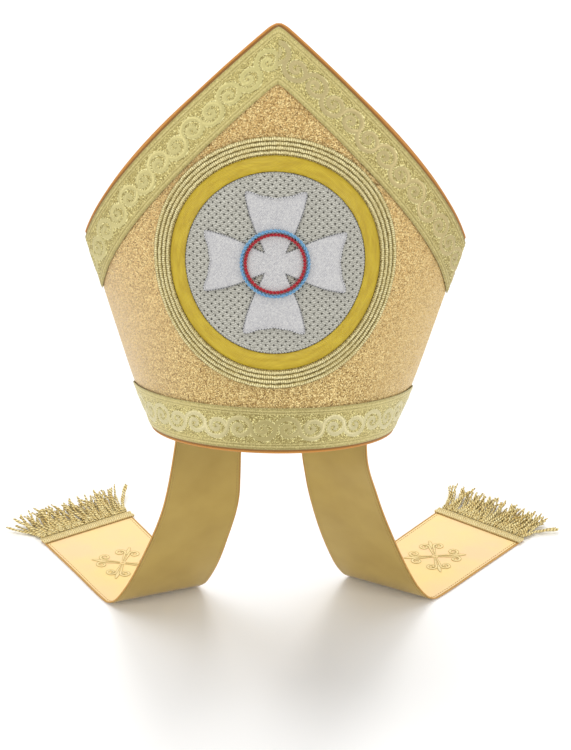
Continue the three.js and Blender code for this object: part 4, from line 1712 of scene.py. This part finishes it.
def makeFringe(lappet):
    settings = fringeSettings
    outer, alongEnd, onward, width = lappet.end()
    chance = random.Random(settings["seeds"][lappet.name])
    bm = bmesh.new()

    def at(sideways, out, up):
        return outer + alongEnd * sideways + onward * out + upwards * up

    # the cord that the threads hang from
    topCord = [at(width * i / 24, 2.0, 0.4) for i in range(25)]
    cordOn(bm, topCord, 8, ovalSkin(*settings["topCordRadii"]))

    def thread(centres, radius, phase):
        last = len(centres) - 1

        def skin(i, turn):
            lobe = radius * (1 + 0.25 * math.cos(2 * (turn - i * 0.9 - phase)))
            lobe *= 0.55 if i == 0 else 0.85 if i == last else 1
            return lobe * math.cos(turn), lobe * math.sin(turn)

        cordOn(bm, centres, 6, skin, chartFrom=phase * 40)

    for k in range(settings["long"]):
        share = (k + 0.5) / settings["long"]
        fan = (share - 0.5) * settings["fan"] + chance.uniform(-1, 1) * settings["stray"]
        length = settings["length"] * chance.uniform(0.84, 1.06)
        rise = chance.uniform(*settings["rise"])
        low = chance.choice(settings["layers"])
        curl, sway = chance.uniform(-0.3, 0.3), chance.uniform(0.2, 0.9)
        phase = chance.uniform(0, 2 * math.pi)
        centres = []
        for i in range(settings["steps"] + 1):
            v = i / settings["steps"]
            sideways = width * share + (fan * v + curl * v * v) * length * v**0.3
            sideways += sway * math.sin(v * 6 + phase) * v
            out = 1.2 + length * v * (1 - 0.06 * v * rise / 10)
            up = low * (1 - 0.4 * v) + 0.5 * math.sin(v * 5 + phase) * v + rise * v**2.4
            centres.append(at(sideways, out, max(up, settings["floorGap"])))
        thread(centres, chance.uniform(*settings["radius"]), phase)
    for k in range(settings["short"]):
        share = (k + 0.5) / settings["short"]
        lean = chance.uniform(-0.5, 0.5)
        length = chance.uniform(*settings["shortLength"])
        phase = chance.uniform(0, 2 * math.pi)
        centres = []
        for i in range(settings["shortSteps"] + 1):
            v = i / settings["shortSteps"]
            centres.append(at(width * share + lean * length * v, 0.4 + length * v,
                              2.5 + 1.1 * math.sin(math.pi * v) - 0.9 * v))
        thread(centres, settings["shortRadius"], phase)
    sealCords(bm)
    toMetres(bm)
    return keepPiece(bm, lappetName(lappet, "Fringe"), [finishes["fringe"]], "gold_thread",
                     [f"lappet_{lappet.name}_fringe"], 80)


# embroidered cross of a lappet: one of its curls, and the tongue between two of them,
# as x across the arm and y out along it

lappetCross = {
    "stemX": [0.9, 1.2, 1.7],
    "stemY": [2.2, 8, 13.5],
    "stemSteps": 8,
    "curlCentre": (6.3, 17.4),
    "curlReach": 4.7,
    "curlTurns": 1.3,
    "curlFrom": 196,  # degrees
    "curlSteps": 26,
    "ribbonHalf": 1.05,
    "tongueFrom": 14.5,
    "tongueTo": 28,
    "tongueHalf": 1.5,
    "tongueSteps": 10,
    "lineRadius": 0.24,
    "fillRise": 0.22,
    "knotReach": 1.9,
    "knotRadii": (0.8, 0.5),
}


def curlPath():
    shape = lappetCross
    foot, span = shape["stemY"][0], shape["stemY"][-1] - shape["stemY"][0]
    heights = [foot + span * i / shape["stemSteps"] for i in range(shape["stemSteps"] + 1)]
    points = [(smoothRead(shape["stemY"], shape["stemX"], y), y) for y in heights]
    (middleX, middleY), reach = shape["curlCentre"], shape["curlReach"]
    for i in range(1, shape["curlSteps"] + 1):
        share = i / shape["curlSteps"]
        angle = math.radians(shape["curlFrom"]) - share * shape["curlTurns"] * 2 * math.pi
        wound = reach * (1 - 0.7 * share)
        points.append((middleX + wound * math.cos(angle), middleY + wound * math.sin(angle)))
    return points


def tonguePath():
    shape = lappetCross
    steps, span = shape["tongueSteps"], shape["tongueTo"] - shape["tongueFrom"]
    return [(0.0, shape["tongueFrom"] + span * i / steps) for i in range(steps + 1)]


def besidePath(path, halves):
    # a path moved sideways by its own half width
    moved = []
    last = len(path) - 1
    for i, (x, y) in enumerate(path):
        before, after = path[max(i - 1, 0)], path[min(i + 1, last)]
        run = Vector((after[0] - before[0], after[1] - before[1])).normalized()
        moved.append((x - run.y * halves[i], y + run.x * halves[i]))
    return moved


def makeLappetCross(lappet):
    settings, shape = lappetSettings, lappetCross
    _, alongEnd, onward, _ = lappet.end()
    centre = lappet.place(lappet.length - settings["crossFromEnd"], 0.5,
                          settings["thickness"] / 2)
    bm = bmesh.new()

    def at(x, y, up):
        return centre + alongEnd * x + onward * y + upwards * up

    def turned(path, turn, mirror):
        return [(
            mirror * x * math.cos(turn) + y * math.sin(turn),
            -mirror * x * math.sin(turn) + y * math.cos(turn),
        ) for x, y in path]

    def lay(path, halves, rise, material):
        cordOn(bm, [at(x, y, 0.1) for x, y in path], 6,
               lambda i, turn: (halves[i] * math.cos(turn), rise * max(math.sin(turn), -0.3)),
               material=material)

    def laySatin(path, halves, turn, mirror):
        lay(turned(path, turn, mirror), halves, shape["fillRise"], 0)
        for side in (-1, 1):
            line = besidePath(path, [side * half for half in halves])
            lay(turned(line, turn, mirror), [shape["lineRadius"]] * len(line),
                shape["fillRise"] * 1.1, 1)

    curl, tongue = curlPath(), tonguePath()
    last, steps = len(curl) - 1, shape["tongueSteps"]
    curlHalves = [
        shape["ribbonHalf"] * min(1, 0.3 + 2.5 * min(i, last - i) / len(curl))
        for i in range(len(curl))
    ]
    tongueHalves = [
        shape["tongueHalf"] * math.sin(math.pi * (0.06 + 0.88 * i / steps))
        for i in range(steps + 1)
    ]
    for quarter in range(4):
        turn = math.radians(45 + 90 * quarter)
        for mirror in (-1, 1):
            laySatin(curl, curlHalves, turn, mirror)
        laySatin(tongue, tongueHalves, turn, 1)
    knot = [
        at(shape["knotReach"] * math.cos(i * math.pi / 8),
           shape["knotReach"] * math.sin(i * math.pi / 8), 0.2)
        for i in range(16)
    ]
    cordOn(bm, knot, 6, ovalSkin(*shape["knotRadii"]), closed=True)
    sealCords(bm)
    toMetres(bm)
    return keepPiece(bm, lappetName(lappet, "Cross"),
                     [finishes["embroidery"], finishes["embroideryLine"]], "gold_thread",
                     [f"lappet_{lappet.name}_cross"])


# making

for name, facing in (("front", -1), ("back", 1)):
    panel = makePanel(facing, name)
    onPanel = braidAll(facing, name) + [makeArchPiping(facing, name), makeFlanges(facing, name)]
    print(f"{name} panel, braid and piping made")
    if facing < 0:
        onPanel += [
            makeDisc(),
            makeLattice(),
            makeYellowRing(),
            makeGoldRing(),
            makeCross(),
            makeCrossOutline(),
            makeRoundelStitches(),
            makeRope("redCord", *roundel["cordRed"], finishes["red"], "red_thread",
                     "emblem_cord_red"),
            makeRope("blueCord", *roundel["cordBlue"], finishes["blue"], "blue_thread",
                     "emblem_cord_blue"),
        ]
        print("roundel made")
makeRimPiping()
crown = makeCrownLining()
print("rim and crown lining made")

for name in ("left", "right"):
    lappet = Lappet(name)
    cloth = makeLappetCloth(lappet)
    onLappet = [
        makeLappetPiping(lappet, 0, "OuterPiping", "piping_outer"),
        makeLappetPiping(lappet, 1, "InnerPiping", "piping_inner"),
        makeStitching(lappet),
        makeHeading(lappet),
        makeFringe(lappet),
        makeLappetCross(lappet),
    ]
print("lappets made")

bpy.context.view_layer.update()
